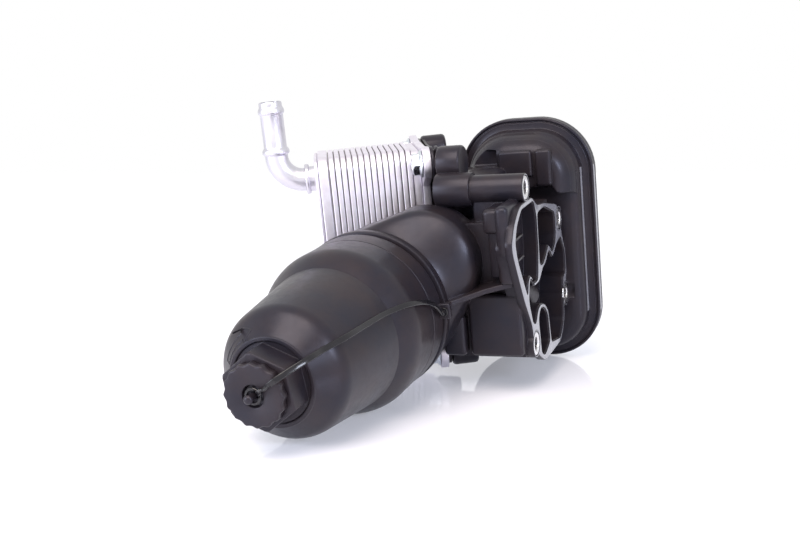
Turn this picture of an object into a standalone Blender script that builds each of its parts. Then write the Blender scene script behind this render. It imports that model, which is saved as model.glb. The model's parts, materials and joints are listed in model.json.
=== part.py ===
"""Engine oil cooler module: a plate cooler on a moulded oil filter housing, with its screw cap.

Every length is in metres. The module frame has its origin on the filter axis at the cap's front
face: +Y runs along the filter axis towards the back, +X points at the engine and +Z is up. The
whole module is then tipped onto the three places that it rests on.
"""

import math

import bmesh
import bpy
from mathutils import Matrix, Vector

MM = 0.001
FIT = 0.3 * MM  # gap between pieces that seat on each other

# Filter cap, as stations along the filter axis and radii round it
HEX_ACROSS_FLATS = 36 * MM
HEX_HEIGHT = 14.5 * MM
HEX_TURN = math.radians(6.8)
FACE_RING_RADIUS = 24 * MM
FACE_RING_WIDTH = 2.5 * MM
FACE_RING_HEIGHT = 0.8 * MM
TIP_STATION = 11.6 * MM
TIP_RADIUS = 35.5 * MM
TIP_ROUND = 5 * MM
SHOULDER_STATION = 65.3 * MM
SHOULDER_RADIUS = 41.7 * MM
SKIRT_STATION = 83.5 * MM
SKIRT_RADIUS = 48.6 * MM
SEAM_STATION = 103 * MM
LIP_STATION = 117 * MM
LIP_RADIUS = 49.2 * MM
CAP_WALL = 2.8 * MM
CAP_THREAD_LENGTH = 20 * MM
CAP_THREAD_WALL = 4 * MM
CAP_LIFT_PER_TURN = 4 * MM
CAP_TURNS = 3

# Drain plug in the cap
DRAIN_BORE_RADIUS = 10 * MM
PLUG_RADIUS = 16.6 * MM
PLUG_HEAD = 4.6 * MM
PLUG_LOBES = 16
PLUG_LOBE_DEPTH = 0.9 * MM
PLUG_RECESS_RADIUS = 5.8 * MM
PLUG_RECESS_DEPTH = 3.6 * MM
POST_RADIUS = 1.7 * MM
POST_TIP_RADIUS = 2.5 * MM
POST_REACH = 6 * MM
EYELET_LIFT = 3.2 * MM  # above the floor of the plug's recess

# Tether strap
STRAP_WIDTH = 3 * MM
STRAP_THICKNESS = 1.3 * MM
STRAP_LIFT = 2.2 * MM  # gap between the strap and the cap's skin, to the middle of the strap
EYELET_RADIUS = 4.6 * MM
LUG_THICKNESS = 4 * MM
LUG_WIDTH = 9 * MM
LUG_REACH = 6 * MM
LUG_ANGLE = math.radians(4)
CLIP_PIN_RADIUS = 1.5 * MM

# Housing: the neck that takes the cap
COLLAR_STATION = 121.7 * MM
COLLAR_RADIUS = 49.7 * MM
COLLAR_LENGTH = 6 * MM
BOWL_RADIUS = 45 * MM
BOWL_DEPTH = 30 * MM
NECK_RADIUS = 47.9 * MM
NECK_FLOOR = 7 * MM
SEAL_SECTION = 2.6 * MM

# Housing: the body behind the neck, which widens towards the flange
BODY_RADIUS = 47.3 * MM
BODY_SHOULDER = (28 * MM, 22.7 * MM)
BODY_SHOULDER_RADIUS = 34.9 * MM
BODY_CROWN = (5.5 * MM, 4 * MM)
BODY_CROWN_RADIUS = 45.8 * MM
BODY_WIDENING = 21 * MM
BODY_TAIL = 153 * MM
TAIL_SHIFT = (12 * MM, 10 * MM)  # how far the left side is drawn in at the back, to clear the cooler
TAIL_SHRINK = 13 * MM
BODY_BACK = 168.7 * MM
BODY_ROUND = 3 * MM

# Housing: engine flange
FLANGE_FACE = 90 * MM
FLANGE_DEPTH = 12 * MM
FLANGE_CORE_DEPTH = 21 * MM
FLANGE_CORE_FRONT = 26 * MM  # from the flange's front tip
FLANGE_FRONT = 128.5 * MM
FLANGE_BACK = 262 * MM
FLANGE_TOP = 57 * MM
GALLERY_BACK = 234 * MM
FLANGE_BOTTOM = -52 * MM
POCKET_DEPTH = 17 * MM
FRONT_POCKET_DEPTH = 9.5 * MM
SLEEVE_RADIUS = 7.4 * MM
SLEEVE_BORE_RADIUS = 4.3 * MM
SLEEVE_HEADS = (55 * MM, 53 * MM, 66 * MM, 66 * MM)  # where each bolt's head sits, along +X
ACCESS_RADIUS = 9.4 * MM
SLEEVE_WALL = 1.3 * MM
BOSS_PROUD = 0.2 * MM
TOP_BOSS = (167.5 * MM, 65 * MM)
CAN_PLACE = (180 * MM, 80 * MM)
CAN_RADIUS = 11 * MM
CAN_ENDS = (33 * MM, 52 * MM)
BOTTOM_BOSS = (168.5 * MM, -33 * MM)

# Housing: breather chamber, a rounded box that faces the filter
CHAMBER_LEFT = 15 * MM
CHAMBER_RIGHT = 110 * MM
CHAMBER_BOTTOM = -76.7 * MM
CHAMBER_TOP = 96 * MM
CHAMBER_CORNER = 38 * MM
RIM_STATION = 274 * MM
RIM_THICKNESS = 5 * MM
RIM_WIDTH = 7.5 * MM
CHAMBER_FRONT = 261 * MM
HOOD_FRONT = 250 * MM
HOOD_BOTTOM = 50 * MM
HOOD_PANEL_LIFT = 3 * MM
HOOD_PANELS = (  # left, right, bottom and top of each raised panel on the hood
    (50.5 * MM, 74 * MM, 59 * MM, 77 * MM),
    (76.2 * MM, 87 * MM, 52.5 * MM, 77 * MM),
    (31 * MM, 49 * MM, 62 * MM, 66.2 * MM),
)
HOOD_RECESS = (31 * MM, 49 * MM, 67 * MM, 78 * MM)
HOOD_RECESS_DEPTH = 5 * MM
CHAMBER_WALL = 3 * MM
COVER_THICKNESS = 5.5 * MM
COVER_DOME = 5 * MM

# Plate cooler, in its own frame: x from the pad outwards, y to the back, z up
COOLER_PAD = Vector((20.3 * MM, 194.6 * MM, 0))
COOLER_TURN = math.radians(26)
COOLER_DEPTH = 64 * MM
COOLER_TOP = 88.5 * MM
COOLER_BOTTOM = -58.9 * MM
BASE_BOTTOM = -54 * MM  # the base plate and the pad are shorter than the plates
COOLER_CORNER = 10 * MM
BASE_THICKNESS = 5 * MM
SPACER_THICKNESS = 5.2 * MM
PLATE_COUNT = 14
PLATE_PITCH = 3.83 * MM
GROOVE_DEPTH = 1.6 * MM
WIDE_PLATE = 6.3 * MM
END_PLATE = 2.3 * MM
EAR_RADIUS = 10.5 * MM
EAR_OUT = 9.5 * MM
EAR_INSET = 8.5 * MM
BOLT_RADIUS = 4 * MM
BOLT_GRIP = 12 * MM
WASHER_RADIUS = 8.8 * MM
PAD_THICKNESS = 5 * MM
PORT_RADIUS = 9 * MM
PORT_SPREAD = 84 * MM

# Coolant pipe on the end plate
PIPE_RADIUS = 7.8 * MM
PIPE_WALL = 1.3 * MM
PIPE_BEND = 17.5 * MM
PIPE_OUT = 25.1 * MM
PIPE_BACK = 46 * MM
PIPE_HEIGHT = 71 * MM
PIPE_TOP = 125.5 * MM
BEAD_RADIUS = 9.4 * MM
TOP_BEAD_RADIUS = 9 * MM
FERRULE_RADIUS = 10.3 * MM
FERRULE_LENGTH = 2.8 * MM

# Filter element and what stands inside it
ELEMENT_RADIUS = 30.5 * MM
ELEMENT_BORE = 15.5 * MM
ELEMENT_FRONT = 20 * MM
ELEMENT_BACK = 138 * MM
ELEMENT_CAP = 2.4 * MM
PLEATS = 32
PAPER = 1.4 * MM
CAGE_RADIUS = 13.6 * MM
CAGE_WALL = 1.8 * MM
CAGE_FRONT = 13 * MM
VALVE_SEAT_RADIUS = 6 * MM
VALVE_RADIUS = 9 * MM
VALVE_TRAVEL = 5 * MM
SPRING_RADIUS = 5 * MM
SPRING_WIRE = 0.7 * MM
SPRING_TURNS = 5


def clear_scene():
    """Removes what the startup scene holds."""
    for obj in list(bpy.data.objects):
        bpy.data.objects.remove(obj, do_unlink=True)


def new_collection(name):
    collection = bpy.data.collections.new(name)
    bpy.context.scene.collection.children.link(collection)
    return collection


clear_scene()
PARTS = new_collection("engine_oil_cooler")
CUTTERS = new_collection("cutters")


def material(name, colour, roughness, metallic=0.0):
    """A Principled material of one colour."""
    made = bpy.data.materials.new(name)
    made.use_nodes = True
    shader = made.node_tree.nodes["Principled BSDF"]
    shader.inputs["Base Color"].default_value = (*colour, 1)
    shader.inputs["Roughness"].default_value = roughness
    shader.inputs["Metallic"].default_value = metallic
    return made


def housing_plastic():
    return material("housing_plastic", (0.045, 0.044, 0.050), 0.42)


def cap_plastic():
    return material("cap_plastic", (0.055, 0.053, 0.060), 0.40)


def strap_plastic():
    return material("strap_plastic", (0.03, 0.03, 0.035), 0.35)


def brazed_aluminium():
    return material("brazed_aluminium", (0.72, 0.72, 0.75), 0.38, 1.0)


def pipe_aluminium():
    return material("pipe_aluminium", (0.86, 0.86, 0.89), 0.30, 1.0)


def zinc_steel():
    return material("zinc_steel", (0.70, 0.72, 0.74), 0.28, 1.0)


def seal_rubber():
    return material("seal_rubber", (0.02, 0.02, 0.02), 0.75)


def filter_paper():
    return material("filter_paper", (0.80, 0.62, 0.30), 0.90)


def inner_plastic():
    return material("inner_plastic", (0.12, 0.12, 0.13), 0.55)


def add_object(name, mesh, parent, finish=None):
    """A mesh as a part, or as a cutter where it has no finish."""
    obj = bpy.data.objects.new(name, mesh)
    (PARTS if finish else CUTTERS).objects.link(obj)
    obj.parent = parent
    if finish:
        obj.data.materials.clear()
        obj.data.materials.append(finish)
    else:
        obj.hide_render = True
        obj.display_type = "WIRE"
    return obj


def empty(name, parent, location=(0, 0, 0), rotation=(0, 0, 0)):
    obj = bpy.data.objects.new(name, None)
    PARTS.objects.link(obj)
    obj.parent = parent
    obj.location = location
    obj.rotation_euler = rotation
    return obj


def smooth(obj, angle=35):
    obj.data.shade_smooth()
    obj.data.set_sharp_from_angle(angle=math.radians(angle))


def bevel(obj, width, segments=2, angle=40):
    modifier = obj.modifiers.new("rounded edges", "BEVEL")
    modifier.width = width
    modifier.segments = segments
    modifier.limit_method = "ANGLE"
    modifier.angle_limit = math.radians(angle)
    return modifier


def boolean(obj, other, operation):
    modifier = obj.modifiers.new(f"{operation.lower()} {other.name}", "BOOLEAN")
    modifier.operation = operation
    modifier.object = other
    modifier.solver = "EXACT"
    return modifier


def join(obj, other):
    return boolean(obj, other, "UNION")


def cut(obj, other):
    return boolean(obj, other, "DIFFERENCE")


def arc(centre, radius, start, end, steps):
    """Points on an arc between two angles in degrees."""
    points = []
    for i in range(steps + 1):
        angle = math.radians(start + (end - start) * i / steps)
        points.append((centre[0] + radius * math.cos(angle), centre[1] + radius * math.sin(angle)))
    return points


def rounded_rectangle(left, right, bottom, top, radius, steps=6):
    """A rectangle's outline with its four corners as arcs."""
    points = arc((right - radius, top - radius), radius, 0, 90, steps)
    points += arc((left + radius, top - radius), radius, 90, 180, steps)
    points += arc((left + radius, bottom + radius), radius, 180, 270, steps)
    points += arc((right - radius, bottom + radius), radius, 270, 360, steps)
    return points


def filleted(corners, radius, steps=3):
    """An outline whose corners are rounded, by less where a side is short."""
    points = []
    count = len(corners)
    for i, corner in enumerate(corners):
        here = Vector(corner)
        before = Vector(corners[i - 1]) - here
        after = Vector(corners[(i + 1) % count]) - here
        reach = min(radius, before.length * 0.45, after.length * 0.45)
        start = here + before.normalized() * reach
        end = here + after.normalized() * reach
        for k in range(steps + 1):
            t = k / steps
            points.append(tuple(start * (1 - t) ** 2 + here * 2 * t * (1 - t) + end * t * t))
    return points


def slab_mesh(name, outline, low, high):
    """A flat outline, extruded along z from low to high, as a mesh."""
    curve = bpy.data.curves.new(name, "CURVE")
    curve.dimensions = "2D"
    curve.fill_mode = "BOTH"
    curve.extrude = (high - low) / 2
    spline = curve.splines.new("POLY")
    spline.points.add(len(outline) - 1)
    for point, (x, y) in zip(spline.points, outline):
        point.co = (x, y, 0, 1)
    spline.use_cyclic_u = True
    return mesh_from_curve(name, curve, Matrix.Translation((0, 0, (low + high) / 2)))


def mesh_from_curve(name, curve, place=Matrix()):
    """The curve's solid as a welded mesh."""
    holder = bpy.data.objects.new(name, curve)
    bpy.context.scene.collection.objects.link(holder)
    graph = bpy.context.evaluated_depsgraph_get()
    graph.update()
    mesh = bpy.data.meshes.new_from_object(holder.evaluated_get(graph))
    bpy.data.objects.remove(holder)
    shape = bmesh.new()
    shape.from_mesh(mesh)
    bmesh.ops.remove_doubles(shape, verts=shape.verts, dist=0.001 * MM)
    bmesh.ops.recalc_face_normals(shape, faces=shape.faces)
    shape.transform(place)
    shape.to_mesh(mesh)
    shape.free()
    return mesh


def slab(name, outline, low, high, parent, finish=None, axis="Z"):
    """An extruded outline. The outline lies in the plane across its axis: (x, y), (y, z) or (x, z)."""
    mesh = slab_mesh(name, outline, low, high)
    if axis == "X":
        mesh.transform(Matrix(((0, 0, 1, 0), (1, 0, 0, 0), (0, 1, 0, 0), (0, 0, 0, 1))))
    elif axis == "Y":
        mesh.transform(Matrix(((1, 0, 0, 0), (0, 0, -1, 0), (0, 1, 0, 0), (0, 0, 0, 1))))
        mesh.transform(Matrix.Translation((0, low + high, 0)))
    return add_object(name, mesh, parent, finish)


def block(name, low, high, parent, rounding=0.0, segments=2, finish=None):
    """A box between two corners, with its edges rounded."""
    shape = bmesh.new()
    size = Vector(high) - Vector(low)
    bmesh.ops.create_cube(shape, size=1)
    bmesh.ops.scale(shape, vec=size, verts=shape.verts)
    bmesh.ops.translate(shape, vec=(Vector(high) + Vector(low)) / 2, verts=shape.verts)
    mesh = bpy.data.meshes.new(name)
    shape.to_mesh(mesh)
    shape.free()
    obj = add_object(name, mesh, parent, finish)
    if rounding:
        bevel(obj, rounding, segments)
    return obj


def rod(name, radius, start, end, parent, sides=24, finish=None, turn=0.0):
    """A cylinder, or a prism with few sides, between two points."""
    start, end = Vector(start), Vector(end)
    along = end - start
    shape = bmesh.new()
    bmesh.ops.create_cone(
        shape, cap_ends=True, segments=sides, radius1=radius, radius2=radius, depth=along.length
    )
    aim = along.to_track_quat("Z", "Y").to_matrix().to_4x4() @ Matrix.Rotation(turn, 4, "Z")
    shape.transform(Matrix.Translation((start + end) / 2) @ aim)
    mesh = bpy.data.meshes.new(name)
    shape.to_mesh(mesh)
    shape.free()
    return add_object(name, mesh, parent, finish)


def turned(name, outline, parent, finish=None, steps=40, closed=False):
    """A solid of revolution about local z, from (station, radius) points listed front to back."""
    shape = bmesh.new()
    points = [shape.verts.new((radius, 0, station)) for station, radius in reversed(outline)]
    for a, b in zip(points, points[1:]):
        shape.edges.new((a, b))
    if closed:
        shape.edges.new((points[-1], points[0]))
    mesh = bpy.data.meshes.new(name)
    shape.to_mesh(mesh)
    shape.free()
    obj = add_object(name, mesh, parent, finish)
    screw = obj.modifiers.new("turned", "SCREW")
    screw.axis = "Z"
    screw.steps = steps
    screw.render_steps = steps
    screw.use_merge_vertices = True
    screw.merge_threshold = 0.0001 * MM
    screw.use_smooth_shade = True
    return obj


def ring(name, radius, section, station, parent, finish, steps=40, sides=10):
    """A seal ring of round section."""
    outline = arc((station, radius), section / 2, 0, 360 * (sides - 1) / sides, sides - 1)
    return turned(name, outline[::-1], parent, finish, steps, closed=True)


def tube_mesh(name, points, radius, resolution=3, cyclic=False):
    """A round bar along points, with filled ends."""
    curve = bpy.data.curves.new(name, "CURVE")
    curve.dimensions = "3D"
    curve.bevel_depth = radius
    curve.bevel_resolution = resolution
    curve.use_fill_caps = True
    spline = curve.splines.new("POLY")
    spline.points.add(len(points) - 1)
    for point, place in zip(spline.points, points):
        point.co = (*place, 1)
    spline.use_cyclic_u = cyclic
    return mesh_from_curve(name, curve)


def cap_skin():
    """The cap's outer skin as (station, radius), from the ring on its face to its skirt."""
    slope = (SHOULDER_RADIUS - TIP_RADIUS) / (SHOULDER_STATION - TIP_STATION)
    face = Vector((FACE_RING_RADIUS - TIP_RADIUS, -TIP_STATION)).normalized()
    tip = Vector((TIP_STATION, TIP_RADIUS))
    start = tip + Vector((face.y, face.x)) * TIP_ROUND
    end = tip + Vector((TIP_ROUND, TIP_ROUND * slope))
    skin = [(0, FACE_RING_RADIUS)]
    for i in range(6):
        t = i / 5
        skin.append(tuple(start * (1 - t) ** 2 + tip * 2 * t * (1 - t) + end * t * t))
    for i in range(8):
        share = i / 7
        station = SHOULDER_STATION + (SKIRT_STATION - SHOULDER_STATION) * share
        flare = (SKIRT_RADIUS - SHOULDER_RADIUS) * math.sin(share * math.pi / 2)
        skin.append((station, SHOULDER_RADIUS + flare))
    return skin


def cap_radius(station):
    """The outer radius of the cap's skin at a station."""
    skin = cap_skin()
    for (low, first), (high, second) in zip(skin, skin[1:]):
        if low <= station <= high:
            return first + (second - first) * (station - low) / (high - low)
    return FACE_RING_RADIUS if station < 0 else SKIRT_RADIUS


def seal_groove_floor():
    return BOWL_RADIUS - 2 * FIT - SEAL_SECTION


def cap_thread_radius():
    return BOWL_RADIUS - 2 * FIT


def cap_outline():
    """The cap's section: outer skin from the face to the thread's end, then the inner skin back."""
    thread_end = LIP_STATION + CAP_THREAD_LENGTH
    inner_thread = seal_groove_floor() - 1.6 * MM
    seam = 0.35 * MM
    ring = FACE_RING_RADIUS - FACE_RING_WIDTH
    edge = FACE_RING_HEIGHT / 2
    outline = [(0, 0), (0, ring), (-FACE_RING_HEIGHT, ring + edge)]
    outline += [(-FACE_RING_HEIGHT, FACE_RING_RADIUS - edge), *cap_skin()]
    outline += [
        (SEAM_STATION - seam, SKIRT_RADIUS),
        (SEAM_STATION, SKIRT_RADIUS - seam),
        (SEAM_STATION + seam, SKIRT_RADIUS),
        (LIP_STATION - 3 * MM, LIP_RADIUS),
        (LIP_STATION - 0.6 * MM, LIP_RADIUS),
        (LIP_STATION, LIP_RADIUS - 0.6 * MM),
        (LIP_STATION, cap_thread_radius() - 0.5 * MM),
        (COLLAR_STATION + 2 * MM, cap_thread_radius()),
        (COLLAR_STATION + 2 * MM, seal_groove_floor()),
        (COLLAR_STATION + 2 * MM + SEAL_SECTION + 2 * FIT, seal_groove_floor()),
        (COLLAR_STATION + 2 * MM + SEAL_SECTION + 2 * FIT, cap_thread_radius()),
        (thread_end - 1 * MM, cap_thread_radius()),
        (thread_end, cap_thread_radius() - 1 * MM),
        (thread_end, inner_thread),
        (SKIRT_STATION, inner_thread),
        (SHOULDER_STATION, SHOULDER_RADIUS - CAP_WALL),
        (TIP_STATION + CAP_WALL, TIP_RADIUS - CAP_WALL),
        (CAP_WALL, FACE_RING_RADIUS - CAP_WALL),
        (CAP_WALL, 0),
    ]
    return outline


def make_hexagon(axis):
    radius = HEX_ACROSS_FLATS / math.sqrt(3)
    hexagon = rod(
        "cap hexagon", radius, (0, 0, -HEX_HEIGHT), (0, 0, CAP_WALL / 2), axis, 6, turn=-HEX_TURN
    )
    bevel(hexagon, 0.8 * MM, 1)
    return hexagon


def make_lug(axis):
    """The ear on the cap's lip that the tether is clipped into."""
    middle = Vector((math.cos(LUG_ANGLE), -math.sin(LUG_ANGLE), 0))
    lug = block(
        "tether lug",
        (LIP_RADIUS - 2 * MM, -LUG_WIDTH / 2, LIP_STATION - LUG_THICKNESS),
        (LIP_RADIUS + LUG_REACH, LUG_WIDTH / 2, LIP_STATION - 0.2 * MM),
        axis,
        0.8 * MM,
    )
    lug.rotation_euler = (0, 0, -LUG_ANGLE)
    centre = middle * (LIP_RADIUS + LUG_REACH / 2 - 0.2 * MM)
    low = centre + Vector((0, 0, LIP_STATION - 2 * LUG_THICKNESS))
    high = centre + Vector((0, 0, LIP_STATION + LUG_THICKNESS))
    hole = rod("tether lug hole", CLIP_PIN_RADIUS + FIT, low, high, axis, 12)
    return lug, hole


def make_cap(axis, finish):
    cap = turned("filter_cap", cap_outline(), axis, finish, 36)
    lug, hole = make_lug(axis)
    join(cap, make_hexagon(axis))
    join(cap, lug)
    drain = rod(
        "drain bore", DRAIN_BORE_RADIUS, (0, 0, -2 * HEX_HEIGHT), (0, 0, 3 * CAP_WALL), axis, 32
    )
    cut(cap, drain)
    cut(cap, hole)
    return cap


def plug_front():
    return -HEX_HEIGHT - FIT - PLUG_HEAD


def scalloped_outline():
    """The plug's edge: shallow hollows between rounded lobes."""
    points = []
    count = PLUG_LOBES * 3
    for i in range(count):
        angle = 2 * math.pi * i / count
        hollow = 0.5 - 0.5 * math.cos(PLUG_LOBES * angle)
        radius = PLUG_RADIUS - PLUG_LOBE_DEPTH * hollow
        points.append((radius * math.cos(angle), radius * math.sin(angle)))
    return points


def make_drain_plug(axis, finish):
    front = plug_front()
    plug = slab("drain_plug", scalloped_outline(), front, -HEX_HEIGHT - FIT, axis, finish)
    bevel(plug, 0.6 * MM, 1, 60)
    recess = rod(
        "plug recess",
        PLUG_RECESS_RADIUS,
        (0, 0, front - PLUG_HEAD),
        (0, 0, front + PLUG_RECESS_DEPTH),
        axis,
        20,
    )
    tip = front - POST_REACH
    shank = DRAIN_BORE_RADIUS - FIT
    groove = shank - 2 * MM
    shank_end = CAP_WALL
    stem_outline = [
        (tip, 0),
        (tip, POST_TIP_RADIUS * 0.55),
        (tip + 1.4 * MM, POST_TIP_RADIUS),
        (tip + 2 * MM, POST_TIP_RADIUS),
        (tip + 2.3 * MM, POST_RADIUS),
        (front + PLUG_RECESS_DEPTH + 0.4 * MM, POST_RADIUS),
        (front + PLUG_RECESS_DEPTH + 0.4 * MM, shank),
        (-HEX_HEIGHT + 1.4 * MM, shank),
        (-HEX_HEIGHT + 1.4 * MM, groove),
        (-HEX_HEIGHT + 4 * MM, groove),
        (-HEX_HEIGHT + 4 * MM, shank),
        (shank_end - 1 * MM, shank),
        (shank_end, shank - 1 * MM),
        (shank_end, 0),
    ]
    stem = turned("plug stem", stem_outline, axis, steps=24)
    cut(plug, recess)
    join(plug, stem)
    return plug


def make_plug_seal(axis, finish):
    section = 1.7 * MM
    radius = DRAIN_BORE_RADIUS - FIT - section / 2
    return ring("drain_plug_seal", radius, section, -HEX_HEIGHT + 2.7 * MM, axis, finish, 24, 6)


def make_cap_seal(axis, finish):
    station = COLLAR_STATION + 2 * MM + FIT + SEAL_SECTION / 2
    radius = seal_groove_floor() + FIT + SEAL_SECTION / 2
    return ring("cap_seal", radius, SEAL_SECTION, station, axis, finish, 36, 6)


def strap_route():
    """The tether's centre line as (station, radius, angle in degrees), from the plug to the lug."""
    level = plug_front() + PLUG_RECESS_DEPTH - EYELET_LIFT
    skin = STRAP_LIFT + STRAP_THICKNESS / 2
    route = [
        (level - 0.5 * MM, EYELET_RADIUS - 1 * MM, 31),
        (level - 2.2 * MM, EYELET_RADIUS + 0.2 * MM, 31.5),
        (level - 3.2 * MM, PLUG_RECESS_RADIUS + 1 * MM, 32),
        (level - 3.3 * MM, PLUG_RADIUS * 0.6, 32.5),
        (level - 3.3 * MM, PLUG_RADIUS - 1.5 * MM, 33),
        (level - 2.6 * MM, PLUG_RADIUS + 1.8 * MM, 33),
        (level + 1.2 * MM, PLUG_RADIUS + 6.5 * MM, 32.5),
        (-7.5 * MM, FACE_RING_RADIUS + 6.8 * MM, 31),
    ]
    for station, extra, angle in (
        (5 * MM, 1.0 * MM, 30),
        (18 * MM, 0.2 * MM, 28.3),
        (36 * MM, 0, 27.2),
        (54 * MM, 0, 26),
        (65 * MM, 1.4 * MM, 24.4),
        (76 * MM, 0, 22),
        (89 * MM, 0.6 * MM, 18),
        (102 * MM, 0, 12),
    ):
        route.append((station, cap_radius(station) + skin + extra, angle))
    return route


def smooth_route(points, per_span=2):
    """A Catmull-Rom curve through the points."""
    ends = [points[0] * 2 - points[1], *points, points[-1] * 2 - points[-2]]
    curve = []
    for a, b, c, d in zip(ends, ends[1:], ends[2:], ends[3:]):
        for i in range(per_span):
            t = i / per_span
            curve.append(
                0.5 * (2 * b + (c - a) * t + (2 * a - 5 * b + 4 * c - d) * t * t
                       + (3 * b - a - 3 * c + d) * t ** 3)
            )
    curve.append(points[-1])
    return curve


def band_mesh(name, route, width, thickness):
    """A flat band along a route about the filter axis, its flat side facing the axis."""
    shape = bmesh.new()
    sections = []
    for i, here in enumerate(route):
        ahead = (route[min(i + 1, len(route) - 1)] - route[max(i - 1, 0)]).normalized()
        outwards = Vector((here.x, here.y, 0)).normalized()
        across = ahead.cross(outwards).normalized()
        normal = across.cross(ahead).normalized()
        corners = []
        for a, b in ((-1, -1), (1, -1), (1, 1), (-1, 1)):
            corners.append(
                shape.verts.new(here + across * a * width / 2 + normal * b * thickness / 2)
            )
        sections.append(corners)
    for first, second in zip(sections, sections[1:]):
        for k in range(4):
            shape.faces.new((first[k], first[(k + 1) % 4], second[(k + 1) % 4], second[k]))
    shape.faces.new(sections[0][::-1])
    shape.faces.new(sections[-1])
    bmesh.ops.recalc_face_normals(shape, faces=shape.faces)
    mesh = bpy.data.meshes.new(name)
    shape.to_mesh(mesh)
    shape.free()
    return mesh


def make_strap(axis, finish):
    """The tether: an eyelet on the plug's post, a flat band, and a pin with a star clip."""
    points = []
    for station, radius, angle in strap_route():
        turn = math.radians(angle)
        points.append(Vector((radius * math.cos(turn), -radius * math.sin(turn), station)))
    lug_radius = LIP_RADIUS + LUG_REACH / 2 - 0.2 * MM
    lug_front = LIP_STATION - LUG_THICKNESS
    lug = Vector((lug_radius * math.cos(LUG_ANGLE), -lug_radius * math.sin(LUG_ANGLE), 0))
    tab = lug + Vector((0, 0, lug_front - FIT - STRAP_THICKNESS / 2))
    points.append(tab - Vector((0, 0, 3 * MM)))
    band = band_mesh("tether_strap", smooth_route(points), STRAP_WIDTH, STRAP_THICKNESS)
    strap = add_object("tether_strap", band, axis, finish)
    level = plug_front() + PLUG_RECESS_DEPTH - EYELET_LIFT
    eyelet = turned(
        "eyelet",
        [
            (level - 0.6 * MM, POST_TIP_RADIUS + 0.6 * MM),
            (level - 0.6 * MM, EYELET_RADIUS),
            (level + 0.6 * MM, EYELET_RADIUS),
            (level + 0.6 * MM, POST_TIP_RADIUS + 0.6 * MM),
        ],
        axis,
        steps=20,
        closed=True,
    )
    pin = rod(
        "clip pin", CLIP_PIN_RADIUS, tab - Vector((0, 0, 4.2 * MM)),
        lug + Vector((0, 0, LIP_STATION + 2.2 * MM)), axis, 12,
    )
    tab_disc = rod(
        "clip tab", 2.6 * MM, tab - Vector((0, 0, STRAP_THICKNESS / 2)),
        tab + Vector((0, 0, STRAP_THICKNESS / 2)), axis, 16,
    )
    star = slab(
        "clip star", star_outline(6, 3.4 * MM, 1.9 * MM), LIP_STATION + 0.4 * MM,
        LIP_STATION + 1.6 * MM, axis,
    )
    star.location = lug
    for other in (eyelet, pin, tab_disc, star):
        join(strap, other)
    return strap


def star_outline(points, outer, inner):
    outline = []
    for i in range(points * 2):
        radius = outer if i % 2 == 0 else inner
        angle = math.pi * i / points
        outline.append((radius * math.cos(angle), radius * math.sin(angle)))
    return outline


def make_element(axis, finish, cap_finish):
    """The pleated paper, and the discs that close its two ends."""
    outer, inner = [], []
    bore = ELEMENT_BORE + 1.5 * MM
    edge = ELEMENT_RADIUS - 1.5 * MM
    for i in range(PLEATS * 2):
        angle = math.pi * i / PLEATS
        radius = edge if i % 2 == 0 else bore
        outer.append(((radius + PAPER / 2) * math.cos(angle), (radius + PAPER / 2) * math.sin(angle)))
        inner.append(((radius - PAPER / 2) * math.cos(angle), (radius - PAPER / 2) * math.sin(angle)))
    low = ELEMENT_FRONT + ELEMENT_CAP + FIT
    high = ELEMENT_BACK - ELEMENT_CAP - FIT
    paper = slab("filter_element", outer, low, high, axis, finish)
    hollow = slab("pleat hollow", inner, low - PAPER, high + PAPER, axis)
    cut(paper, hollow)
    for name, front in (("element_cap_front", ELEMENT_FRONT), ("element_cap_rear", high + FIT)):
        turned(
            name,
            [
                (front, CAGE_RADIUS + FIT),
                (front, ELEMENT_RADIUS),
                (front + ELEMENT_CAP, ELEMENT_RADIUS),
                (front + ELEMENT_CAP, CAGE_RADIUS + FIT),
            ],
            axis,
            cap_finish,
            32,
            closed=True,
        )
    return paper


def bowl_floor():
    return COLLAR_STATION + BOWL_DEPTH


def make_cage(axis, finish):
    """The slotted tube that the element slides onto, with the bypass valve's seat at its tip."""
    front = CAGE_FRONT
    back = bowl_floor() - FIT
    inside = CAGE_RADIUS - CAGE_WALL
    cage = turned(
        "support_cage",
        [
            (front, VALVE_SEAT_RADIUS),
            (front, CAGE_RADIUS - 1 * MM),
            (front + 1 * MM, CAGE_RADIUS),
            (back, CAGE_RADIUS),
            (back, inside),
            (front + 3 * MM, inside),
            (front + 3 * MM, VALVE_SEAT_RADIUS),
        ],
        axis,
        finish,
        24,
        closed=True,
    )
    spider = front + 3 * MM + 22 * MM
    bar = block(
        "cage spider",
        (-CAGE_RADIUS + CAGE_WALL / 2, -2.5 * MM, spider),
        (CAGE_RADIUS - CAGE_WALL / 2, 2.5 * MM, spider + 3 * MM),
        axis,
    )
    disc = rod("cage spring seat", SPRING_RADIUS + 2 * MM, (0, 0, spider), (0, 0, spider + 2 * MM), axis, 20)
    guide = rod(
        "cage guide hole", 1.6 * MM + FIT, (0, 0, spider - 2 * MM), (0, 0, spider + 8 * MM), axis, 12
    )
    join(cage, bar)
    join(cage, disc)
    cut(cage, guide)
    rows = 4
    first = spider + 14 * MM
    pitch = (back - first - 4 * MM) / rows
    for row in range(rows):
        low = first + pitch * row
        for turn in (0, 60, 120):
            slot = block(
                f"cage slot {row} {turn}",
                (-CAGE_RADIUS * 2, -3 * MM, low),
                (CAGE_RADIUS * 2, 3 * MM, low + pitch * 0.62),
                axis,
            )
            slot.rotation_euler = (0, 0, math.radians(turn))
            cut(cage, slot)
    return spider


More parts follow.
